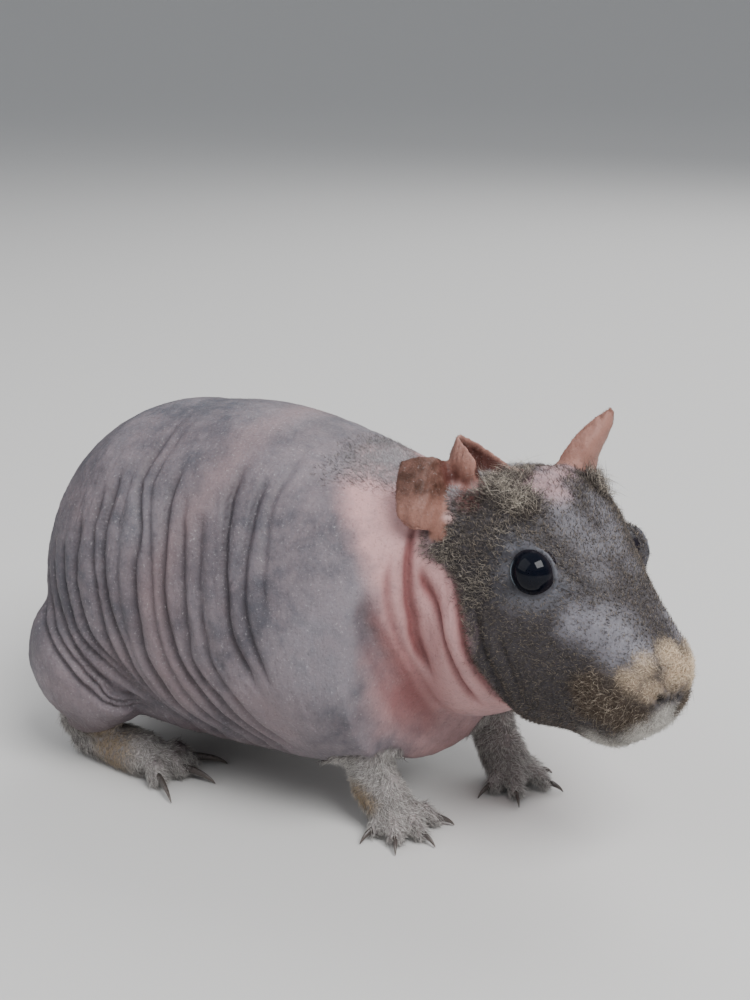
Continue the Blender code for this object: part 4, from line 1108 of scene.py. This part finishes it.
def hide_colour(wire):
    """The colour of the bare hide, from its markings, with painted shade in its folds, hollows and grooves
    and low on the belly.
    """
    blotch = wire.noise(260, 4.0) - 0.5
    mottle = wire.noise(700, 3.0) - 0.5
    mask = wire.mask
    light = (mask("light") + blotch * 1.1 + mottle * 0.7).clamp()
    pink = (mask("pink") * (1.0 + blotch * 1.1 + mottle * 0.5)).clamp()
    # The lobe's upper band is painted dark brown as shade on the ear's back
    shaded_lobe_top = (mask("lobe_top_shade") * (0.85 + blotch * 1.6)).clamp()
    lower_lobe = (mask("lobe") * (1.0 - mask("lobe_top_shade")) * (blotch + 0.75)).clamp()
    ear = wire.layers(EAR_TAN, (EAR_SHADE_BROWN, shaded_lobe_top), (LOBE_BROWN, lower_lobe))
    return wire.layers(
        DARK_SLATE,
        (LIGHT_SLATE, light),
        (MAUVE, (mask("mauve") * 0.75 + blotch * 0.5).clamp()),
        # Painted shade, low on the belly
        (BELLY_SHADE, mask("belly") * 0.9),
        (BARE_PINK, pink),
        (NAPE_GREY, mask("nape") * 0.6),
        (HEAD_GREY, mask("head")),
        (BLUE_GREY, (mask("bare") * (1.0 + blotch)).clamp() * 0.85),
        (TAN, (mask("tan") * (1.0 + blotch)).clamp() * 0.7),
        (WHISKER_BROWN, mask("whisker") * 0.5),
        (PALE, mask("pale") * 0.7),
        (CROWN_BROWN, mask("crown") * 0.8),
        (LIMB_GREY, mask("foot") * 0.9),
        (ear, mask("ear")),
        # Painted shade, dark red, at the root of the near ear
        (EAR_SHADE_RED, mask("ear_root_shade") * 0.85),
        # Painted shade, near-black, in the ear's hollows
        (EAR_HOLLOW_SHADE, mask("ear_hollow_shade") * 0.9),
        (EAR_PALE, mask("ear_bead") * 0.8 + mask("ear_ridge") * 0.5),
        # Painted shade in the folds and wrinkles: dark red on the pink skin, near-black elsewhere
        (CREASE_SHADE_RED, (mask("crease") * 1.2).clamp() * mask("pink") * 0.9),
        (FOLD_SHADE, mask("crease") * (1.0 - mask("pink")) * 0.55),
        # Painted shade, near-black, in the nostrils and the mouth's groove
        (NOSTRIL_SHADE, mask("face_groove_shade") * 0.85),
        (LID_GREY, mask("lid") * 0.8),
        # The lids' dark margin, and painted shade in the lid's fold
        (LID_LINE_AND_FOLD_SHADE, mask("lid_line_and_fold_shade") * 0.8),
    )


def hide_finish():
    """Bare hide: its colour, flakes and dark specks, and a bump of pores along the wrinkles."""
    flesh = {"Subsurface Weight": 0.05, "Subsurface Radius": (0.0012, 0.0005, 0.0003)}
    material, wire, shader = finish("bare_hide", {**flesh, "Specular IOR Level": 0.3})
    speckle = wire.noise(1700, 2.0)
    pores = wire.noise(1500, 3.0)
    weave = wire.noise(900, 2.0, stretch=(1.6, 0.5, 0.5))
    base = hide_colour(wire)
    dry = (1.0 - wire.mask("pink") * 0.7) * (1.0 - wire.mask("head") * 0.7)
    flake = ((speckle - 0.62) * 5.0).clamp() * dry
    colour = wire.layers(base, (FLAKE, flake * 0.45), (SPECK, ((0.43 - speckle) * 4.0).clamp() * 0.40))
    height = pores * 0.5 + speckle * 0.3 + weave * 0.6
    wear(shader, wire, colour, 0.55 + (pores - 0.5) * 0.25, height, 0.0004, 0.7)
    return material


skin.data.materials.clear()
skin.data.materials.append(hide_finish())


# Eyes: wet dark globes with a slightly bulging cornea, nearly black with a blue cast, a brown iris
# at the edge and a pale crescent in the lower back corner. Each sits loose behind its lids.
EYE_SEGMENTS = 64
CORNEA_RISE = 0.045
IRIS_EDGE = 0.35, 0.62
CRESCENT_WIDTH, CRESCENT_PLACE = 0.055, 0.60
PUPIL_BLACK = (0.002, 0.003, 0.007)
IRIS_BROWN = (0.012, 0.010, 0.014)
CRESCENT_BLUE = (0.42, 0.52, 0.60)


def eye_finish():
    """A wet eye: dark from the middle to the iris, with the crescent over it."""
    material, wire, shader = finish("wet_eye", {"Specular IOR Level": 0.16})
    rings = wire.noise(700, 2.0)
    ring = wire.mask("edge")
    iris = (ring * 1.2 + (rings - 0.5)).clamp()
    colour = wire.layers(PUPIL_BLACK, (IRIS_BROWN, iris), (CRESCENT_BLUE, wire.mask("crescent")))
    wear(shader, wire, colour, 0.05 + ring * 0.05)
    return material


wet_eye = eye_finish()
for side_name in SIDES:
    out, nose, upward = eye_frame(side_name)
    shape = bmesh.new()
    bmesh.ops.create_uvsphere(shape, u_segments=EYE_SEGMENTS, v_segments=EYE_SEGMENTS // 2, radius=1.0)
    mesh = bpy.data.meshes.new(f"eyeball_{side_name}")
    shape.to_mesh(mesh)
    shape.free()
    unit = read_vectors(mesh, "co")
    bulge = 1 + CORNEA_RISE * bell(unit[:, 2], 0.25, 1.0)
    axes = np.stack([nose, upward, out])
    write_points(mesh, eye_centres[side_name] + (unit * bulge[:, None] * EYE_RADIUS) @ axes)
    edge = smooth_step(1 - unit[:, 2], *IRIS_EDGE)
    lower_back = smooth_step(-unit[:, 0] * 0.8 - unit[:, 1] * 0.6, 0.55, 0.8)
    add_layer(mesh, "edge", edge)
    crescent = bell(unit[:, 2], CRESCENT_WIDTH, CRESCENT_PLACE)
    add_layer(mesh, "crescent", crescent * lower_back)
    mesh.shade_smooth()
    mesh.materials.append(wet_eye)
    eyeball = new_object(f"eyeball_{side_name}", mesh)
    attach(eyeball, "root")
    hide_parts(f"eye_{side_name}")


# Claws: curved horn sheaths, four on each forefoot and three longer ones on each hind foot. Each
# grows out of a toe's end and bends down until its tip is just over the floor.
# Length, radius at the root and the root's height over the floor
FORECLAW = 5.5, 1.0, 2.6
HINDCLAW = 10.5, 1.2, 3.4
CLAW_TIP_HEIGHT = 0.35
CLAW_SIDES, CLAW_STEPS = 16, 26
CLAW_FLATNESS, CLAW_SUNK, CLAW_TAPER = 0.72, 0.8, 0.9
# How far the claw's curve turns, in radians, on its way forward and on its way down
FORWARD_TURN, DOWN_TURN = 1.25, 1.5
HORN_DARK = (0.030, 0.024, 0.023)
HORN_PALE = (0.120, 0.098, 0.086)


def claw_finish():
    """Dark horn with fine streaks, paler towards the tip."""
    material, wire, shader = finish("horn", {})
    streak = wire.noise(1400, 3.0)
    colour = wire.mix(HORN_DARK, HORN_PALE, (wire.mask("tip") * 0.8 + (streak - 0.5)).clamp())
    wear(shader, wire, colour, 0.30 + (streak - 0.5) * 0.2, streak, 0.00008, 0.4)
    return material


horn = claw_finish()


def make_claw(name, tip, away, length, thickness, height):
    """A claw that leaves the toe's end and bends down to its point."""
    away = np.array([away[0], away[1], 0.0])
    away /= np.linalg.norm(away)
    aside = np.array([-away[1], away[0], 0.0])
    share = np.linspace(0, 1, CLAW_STEPS)
    forward = length * np.sin(share * FORWARD_TURN) / math.sin(FORWARD_TURN)
    drop = (height - CLAW_TIP_HEIGHT) * (1 - np.cos(share * DOWN_TURN)) / (1 - math.cos(DOWN_TURN))
    start = np.array([*tip, height]) - away * CLAW_SUNK
    spine = start + away * forward[:, None] - np.array([0, 0, 1.0]) * drop[:, None]
    along = np.gradient(spine, axis=0)
    along /= np.linalg.norm(along, axis=1, keepdims=True)
    upright = np.cross(aside, along)
    radius = thickness * (1 - CLAW_TAPER * share**1.4)
    turn = np.linspace(0, 2 * np.pi, CLAW_SIDES, endpoint=False)
    rings = spine[:, None] + radius[:, None, None] * (
        aside * CLAW_FLATNESS * np.cos(turn)[None, :, None] + upright[:, None] * np.sin(turn)[None, :, None]
    )
    rings[..., 2] = np.maximum(rings[..., 2], 0.02)
    index = np.arange(CLAW_STEPS * CLAW_SIDES).reshape(CLAW_STEPS, CLAW_SIDES)
    faces = quads_between(index).tolist() + [index[0, ::-1].tolist(), index[-1].tolist()]
    mesh = bpy.data.meshes.new(name)
    mesh.from_pydata(to_frame(rings.reshape(-1, 3)).tolist(), [], faces)
    face_outwards(mesh)
    add_layer(mesh, "tip", np.repeat(share, CLAW_SIDES))
    mesh.shade_smooth()
    mesh.materials.append(horn)
    claw = new_object(name, mesh)
    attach(claw, "root")
    return claw


for kind, legs, claw_sizes in (("fore", FORELEGS, FORECLAW), ("hind", HINDLEGS, HINDCLAW)):
    for side_name, sizes in legs.items():
        *joints, toes = sizes.values()
        for i, tip in enumerate(toes):
            away = np.array(tip, float) - joints[-1][:2]
            claw = make_claw(f"horn_{kind}_{side_name}_{i + 1}", tip, away, *claw_sizes)
            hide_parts(f"claw_{kind}_{side_name}_{i + 1}")


# Coat: the breed keeps short frizzy hair on its face, crown and feet, and a velvet of very short
# fuzz over the rest. Each tuft is a thin solid blade whose root is sunk in the hide; it follows
# the lie of the coat, from the nose backwards and down the legs.
HAIR_SUNK = 0.2
BAKE_PATCH = 0.003
ALONG_BODY = np.array([-1.0, 0.0, -0.45])
DOWN_LEG = np.array([0.75, 0.0, -0.6])

quad_corners = np.empty(len(skin.data.loops), int)
skin.data.loops.foreach_get("vertex_index", quad_corners)
loop_starts = np.empty(len(skin.data.polygons), int)
loop_totals = np.empty(len(skin.data.polygons), int)
skin.data.polygons.foreach_get("loop_start", loop_starts)
skin.data.polygons.foreach_get("loop_total", loop_totals)
skin_quads = quad_corners[loop_starts[loop_totals == 4][:, None] + np.arange(4)]
corners = points[skin_quads]
quad_areas = np.cross(corners[:, 2] - corners[:, 0], corners[:, 3] - corners[:, 1])
quad_areas = np.linalg.norm(quad_areas, axis=1) / 2


def unit_rows(vectors):
    """The same directions, each one long."""
    return vectors / (np.linalg.norm(vectors, axis=-1, keepdims=True) + 1e-9)


def lie_of_coat(places, outs):
    """The way the hair lies: back from the nose, back and down the body, down the legs."""
    head_places = to_head(places)
    on_face = smooth_step(HEAD_LENGTH + 4 - head_places[:, 0], 0.0, 8.0)[:, None]
    spread = head_places * (0, 0.25, 0.25) + (-9.0, 0, 9 * 0.25)
    from_nose = unit_rows(spread) @ HEAD_TURNED.T
    low = 1 - smooth_step(places[:, 2], 7.0, 15.0)[:, None]
    flow = ALONG_BODY * (1 - on_face) + from_nose * on_face
    flow = flow * (1 - low) + DOWN_LEG * low
    return unit_rows(flow - outs * np.sum(flow * outs, axis=1, keepdims=True))


def bake_place(places):
    """Where a place lies on an unwrap of the hide: body and head round their axes, feet from above."""
    x, left, up = places.T
    back, head_left, head_up = to_head(places).T
    on_face = (back < HEAD_LENGTH) & (x > 24)
    is_foot = (up < 13) & ~on_face
    turn = np.arctan2(up - MIDDLE_HEIGHT, left) / (2 * np.pi) + 0.5
    # The body takes the left two thirds of the sheet, the head the upper right, the feet the rest
    spot = np.stack([0.02 + 0.62 * (x + 90) / 140, 0.02 + 0.95 * turn], -1)
    turn = np.arctan2(head_up + 5, head_left) / (2 * np.pi) + 0.5
    face_spot = np.stack([0.66 + 0.32 * np.clip(back / 70, 0, 1), 0.45 + 0.53 * turn], -1)
    foot_spot = np.stack([0.66 + 0.32 * (x + 90) / 145, 0.02 + 0.40 * (left + 45) / 90], -1)
    spot[on_face] = face_spot[on_face]
    spot[is_foot] = foot_spot[is_foot]
    return np.clip(spot, 0.0, 0.996)


def grow(name, count, density, length, width, lift, curl, material, ribs, slot, seed):
    """Hair as one mesh of three-sided blades. Density is a mask and length may be one; the lift is
    in radians over the hide, and ribs says in how many places between root and tip a blade bends."""
    rng = np.random.default_rng(seed)
    chance = quad_areas * density[skin_quads].mean(1)
    picks = rng.choice(len(skin_quads), count, p=chance / chance.sum())
    u, v = rng.random((2, count))
    shares = np.stack([(1 - u) * (1 - v), u * (1 - v), u * v, (1 - u) * v], -1)

    def at_roots(values):
        corners = values[skin_quads[picks]]
        return np.einsum("nk,nk...->n...", shares, corners)

    def varied(size, low, high):
        return (size * rng.uniform(low, high, count))[:, None]

    roots, outs = at_roots(points), unit_rows(at_roots(normals))
    lie = lie_of_coat(roots, outs)
    aside = np.cross(outs, lie)
    spin = rng.normal(0, 1, count) * curl * 0.9
    lie = unit_rows(lie * np.cos(spin)[:, None] + aside * np.sin(spin)[:, None])
    aside = np.cross(outs, lie)
    reach = varied(at_roots(length * np.ones(len(points))), 0.65, 1.25)
    rise = varied(lift, 0.6, 1.35)
    first = lie * np.cos(rise) + outs * np.sin(rise)
    wave = (curl * rng.normal(0, 1, count))[:, None]
    sag = rng.uniform(0.1, 0.5, (count, 1)) * rise
    half = varied(width, 0.7, 1.25) / 2
    across = unit_rows(np.cross(first, outs) + 1e-6)
    upright = np.cross(across, first)
    rows = []
    for k in range(ribs + 1):
        share = k / (ribs + 1)
        spine = roots - outs * HAIR_SUNK + reach * (
            first * share + (lie - first) * sag * share**2
            + aside * wave * share * (1 - 1.4 * share) * 0.9 + outs * np.abs(wave) * share**2 * 0.25
        )
        thick = half * (1 - share) ** 0.6
        for t in np.arange(3) * 2 * np.pi / 3:
            rows.append(spine + thick * (across * math.cos(t) + upright * math.sin(t) * 0.7))
    tip = roots - outs * HAIR_SUNK + reach * (
        first + (lie - first) * sag - aside * wave * 0.36 + outs * np.abs(wave) * 0.25
    )
    rows.append(tip)
    blades = np.stack(rows, 1)
    blades[..., 2] = np.maximum(blades[..., 2], 0.05)
    each = blades.shape[1]
    faces = [(0, 2, 1)]
    for k in range(ribs):
        for i in range(3):
            j = (i + 1) % 3
            a, b, c, d = 3 * k + i, 3 * k + j, 3 * k + 3 + j, 3 * k + 3 + i
            faces += [(a, b, c), (a, c, d)]
    faces += [(3 * ribs + i, 3 * ribs + (i + 1) % 3, each - 1) for i in range(3)]
    corners = (np.array(faces)[None] + each * np.arange(count)[:, None, None]).reshape(-1)
    mesh = bpy.data.meshes.new(name)
    mesh.vertices.add(count * each)
    mesh.loops.add(len(corners))
    mesh.polygons.add(len(corners) // 3)
    mesh.vertices.foreach_set("co", to_frame(blades.reshape(-1, 3)).ravel())
    mesh.loops.foreach_set("vertex_index", corners)
    mesh.polygons.foreach_set("loop_start", np.arange(0, len(corners), 3))
    mesh.update(calc_edges=True)
    along = np.append(np.repeat(np.arange(ribs + 1) / (ribs + 1), 3), 1.0)
    across = np.append(np.tile(np.arange(3) / 3, ribs + 1), 0.5)
    corner_places = bake_place(roots)[:, None] + BAKE_PATCH * np.stack([across, along], -1)
    layer = mesh.uv_layers.new(name="OFBake")
    layer.data.foreach_set("uv", corner_places.reshape(-1, 2)[corners].ravel())
    tuft_values = {key: at_roots(values) for key, values in masks.items() if values.max() > 0.05}
    tuft_values["tone"] = rng.random(count)
    for key, values in tuft_values.items():
        add_layer(mesh, key, np.repeat(values, each))
    add_layer(mesh, "share", np.tile(along, count))
    mesh.materials.append(material)
    coat = new_object(name, mesh)
    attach(coat, "root")


HAIR_ROOT = (0.022, 0.019, 0.019)
HAIR_TIP_DARK = (0.060, 0.052, 0.050)
HAIR_TIP_BROWN = (0.190, 0.158, 0.132)
FUZZ_TIP = (0.420, 0.400, 0.410)


def hair_finish():
    """Short hair: the hide's colour darkened at the root, and tips that differ from tuft to tuft."""
    material, wire, shader = finish("short_hair", {"Specular IOR Level": 0.2})
    mask = wire.mask
    tone, share = mask("tone"), mask("share")
    fair = mask("pink") * 0.3 + mask("nape") * 0.4 + mask("pale") * 0.4 + mask("tan") * 0.4
    root = wire.mix(hide_colour(wire), HAIR_ROOT, (0.5 - fair - mask("foot") * 0.35).clamp())
    tip = wire.layers(
        HAIR_TIP_DARK,
        (HAIR_TIP_BROWN, (tone * 1.5 - 0.35).clamp()),
        ((0.380, 0.315, 0.240), ((tone - 0.78) * 5.0).clamp() * 0.8),
        ((0.400, 0.350, 0.290), (mask("temple") * (tone * 1.8 - 0.5)).clamp()),
        ((0.880, 0.710, 0.520), (mask("tan") * (0.5 + tone)).clamp()),
        ((0.120, 0.090, 0.068), (mask("whisker") * 1.2).clamp()),
        ((0.600, 0.510, 0.400), (mask("whisker") * (tone * 4.0 - 2.9)).clamp()),
        ((0.660, 0.590, 0.490), (mask("crown") * (tone * 2.4 - 1.0)).clamp()),
        ((0.720, 0.690, 0.640), (mask("pale") * (0.6 + tone)).clamp()),
        ((0.540, 0.530, 0.550), (mask("nape") * (0.5 + tone)).clamp()),
        ((0.700, 0.670, 0.640), (mask("foot") * (tone * 1.3 + 0.1)).clamp()),
        ((0.520, 0.390, 0.250), (mask("foot_tan") * (0.5 + tone)).clamp()),
    )
    wear(shader, wire, wire.mix(root, tip, (share * 1.5 - 0.1).clamp()), 0.6 + tone * 0.2)
    return material


def fuzz_finish():
    """Velvet fuzz: the hide's own colour with paler tips."""
    material, wire, shader = finish("velvet_fuzz", {"Specular IOR Level": 0.2})
    tone, share = wire.mask("tone"), wire.mask("share")
    shade = hide_colour(wire)
    tip = wire.mix(shade, FUZZ_TIP, (tone * 0.7 - 0.2).clamp())
    wear(shader, wire, wire.mix(shade, tip, share), 0.6 + tone * 0.2)
    return material


short_hair = hair_finish()
velvet_fuzz = fuzz_finish()
off_lid = 1 - masks["lid"]
off_ear = 1 - np.clip(masks["ear"] * 1.5, 0, 1)
face = masks["head"] * off_lid * off_ear * (1 - masks["face_groove_shade"]) * (1 - 0.5 * masks["crown"])
lips_bare = np.clip(bell(nostril, 1.8) + bell(mouth, 1.3), 0, 1)
muzzle = np.clip(masks["tan"] + masks["pale"] + masks["whisker"], 0, 1) * (1 - lips_bare) * off_lid
face_hair = face * (1 - 0.85 * masks["bare"]) * (1 - 0.7 * muzzle)
face_length = 1.1 + 0.75 * masks["temple"] + 0.4 * smooth_step(back, 30.0, 46.0)
muzzle_length = 1.3 + 0.6 * masks["whisker"] - 0.4 * bell(nostril, 4.0)
above_floor = foot_fur * smooth_step(up, 0.3, 1.5)
ear_hair = masks["ear"] * (1 - masks["ear_hollow_shade"]) * smooth_step(masks["rim"], 0.1, 0.7)
body = off_lid * off_ear * (1 - foot_fur) * (1 - 0.8 * face) * (1 - 0.6 * masks["pink"]) * (1 - nape)
crown = masks["crown"] * off_ear * off_lid
at_nose, at_rump, at_shoulders = back < 27.0, x < -47.0, x >= -9.0
# Blades, where, length, width, lift, curl, finish, ribs, slot and seed. A piece keeps under 200,000
# triangles, so the face, the feet and the body are each divided.
COAT = {
    "nose_hair": (19000, face_hair * at_nose, face_length, 0.18, 0.55, 0.8, short_hair, 1, "foot_fur", 21),
    "cheek_hair": (19000, face_hair * ~at_nose, face_length, 0.18, 0.55, 0.8, short_hair, 1, "foot_fur", 22),
    "muzzle_hair": (10000, muzzle, muzzle_length, 0.2, 0.7, 1.1, short_hair, 2, "foot_fur", 27),
    "crown_curls": (2200, crown, 3.3, 0.2, 0.75, 1.4, short_hair, 4, "foot_fur", 23),
    "nape_fuzz": (14000, nape * off_ear, 1.3, 0.15, 0.5, 0.6, short_hair, 1, "foot_fur", 24),
    "forefoot_hair": (14000, above_floor * (x > 0), 2.3, 0.21, 0.42, 0.6, short_hair, 1, "foot_fur", 40),
    "hindfoot_hair": (14000, above_floor * (x <= 0), 2.3, 0.21, 0.42, 0.6, short_hair, 1, "foot_fur", 41),
    "ear_fuzz": (12000, ear_hair, 0.6, 0.1, 0.6, 0.5, velvet_fuzz, 0, "pink_skin", 26),
    "rump_fuzz": (34000, body * at_rump, 0.6, 0.12, 0.5, 0.35, velvet_fuzz, 0, "grey_skin", 30),
    "flank_fuzz": (
        34000, body * ~at_rump * ~at_shoulders, 0.6, 0.12, 0.5, 0.35, velvet_fuzz, 0, "grey_skin", 31
    ),
    "shoulder_fuzz": (34000, body * at_shoulders, 0.6, 0.12, 0.5, 0.35, velvet_fuzz, 0, "grey_skin", 32),
}
for name, recipe in COAT.items():
    grow(name, *recipe)


# Floor and light: a pale studio floor of matt board that curves up far behind, so no edge shows.
# Three soft lamps and a cool sky light it from above.
FLAT_RADIUS = 3.0
SWEEP_RADIUS, SWEEP_HEIGHT = 9.0, 4.0
SWEEP_RINGS, SWEEP_SPOKES = 24, 96
FLOOR_GREY = (0.60, 0.59, 0.575)
spread = np.linspace(0, 1, SWEEP_RINGS)
reaches = np.append(FLAT_RADIUS / 3, FLAT_RADIUS + (SWEEP_RADIUS - FLAT_RADIUS) * np.sin(spread * np.pi / 2))
heights = np.append(0.0, SWEEP_HEIGHT * (1 - np.cos(spread * np.pi / 2)))
spokes = np.linspace(0, 2 * np.pi, SWEEP_SPOKES, endpoint=False)
high = np.repeat(heights[:, None], SWEEP_SPOKES, 1)
rings = np.stack([np.outer(reaches, np.cos(spokes)), np.outer(reaches, np.sin(spokes)), high], -1)
index = np.arange(rings.shape[0] * SWEEP_SPOKES).reshape(-1, SWEEP_SPOKES)
faces = quads_between(index)[:, [0, 3, 2, 1]].tolist()
floor_mesh = bpy.data.meshes.new("floor")
floor_mesh.from_pydata(rings.reshape(-1, 3).tolist(), [], [index[0].tolist()] + faces)
floor_mesh.shade_smooth()
floor = new_object("floor", floor_mesh)
matt_board = {"Base Color": (*FLOOR_GREY, 1.0), "Roughness": 0.9, "Specular IOR Level": 0.1}
floor_mesh.materials.append(finish("pale_floor", matt_board)[0])

SKY_COLOUR, SKY_STRENGTH = (0.80, 0.84, 0.90), 0.56
LOOK_AT = Vector((0, 0, 0.05))
# Lights as (name, place in metres, size, strength in watts)
LIGHTS = [
    ("key_light", (0.75, -0.35, 1.05), 0.7, 21.0),
    ("fill_light", (-0.65, -0.75, 0.8), 1.2, 5.0),
    ("back_light", (0.0, 0.9, 0.9), 1.0, 9.0),
]
for name, place, size, power in LIGHTS:
    light_data = bpy.data.lights.new(name, "AREA")
    light_data.size = size
    light_data.energy = power
    lamp = new_object(name, light_data)
    lamp.location = place
    lamp.rotation_euler = (LOOK_AT - Vector(place)).to_track_quat("-Z", "Y").to_euler()
world = bpy.data.worlds.new("studio")
world.use_nodes = True
background = world.node_tree.nodes["Background"]
background.inputs["Color"].default_value = (*SKY_COLOUR, 1.0)
background.inputs["Strength"].default_value = SKY_STRENGTH
bpy.context.scene.world = world

bpy.context.view_layer.update()
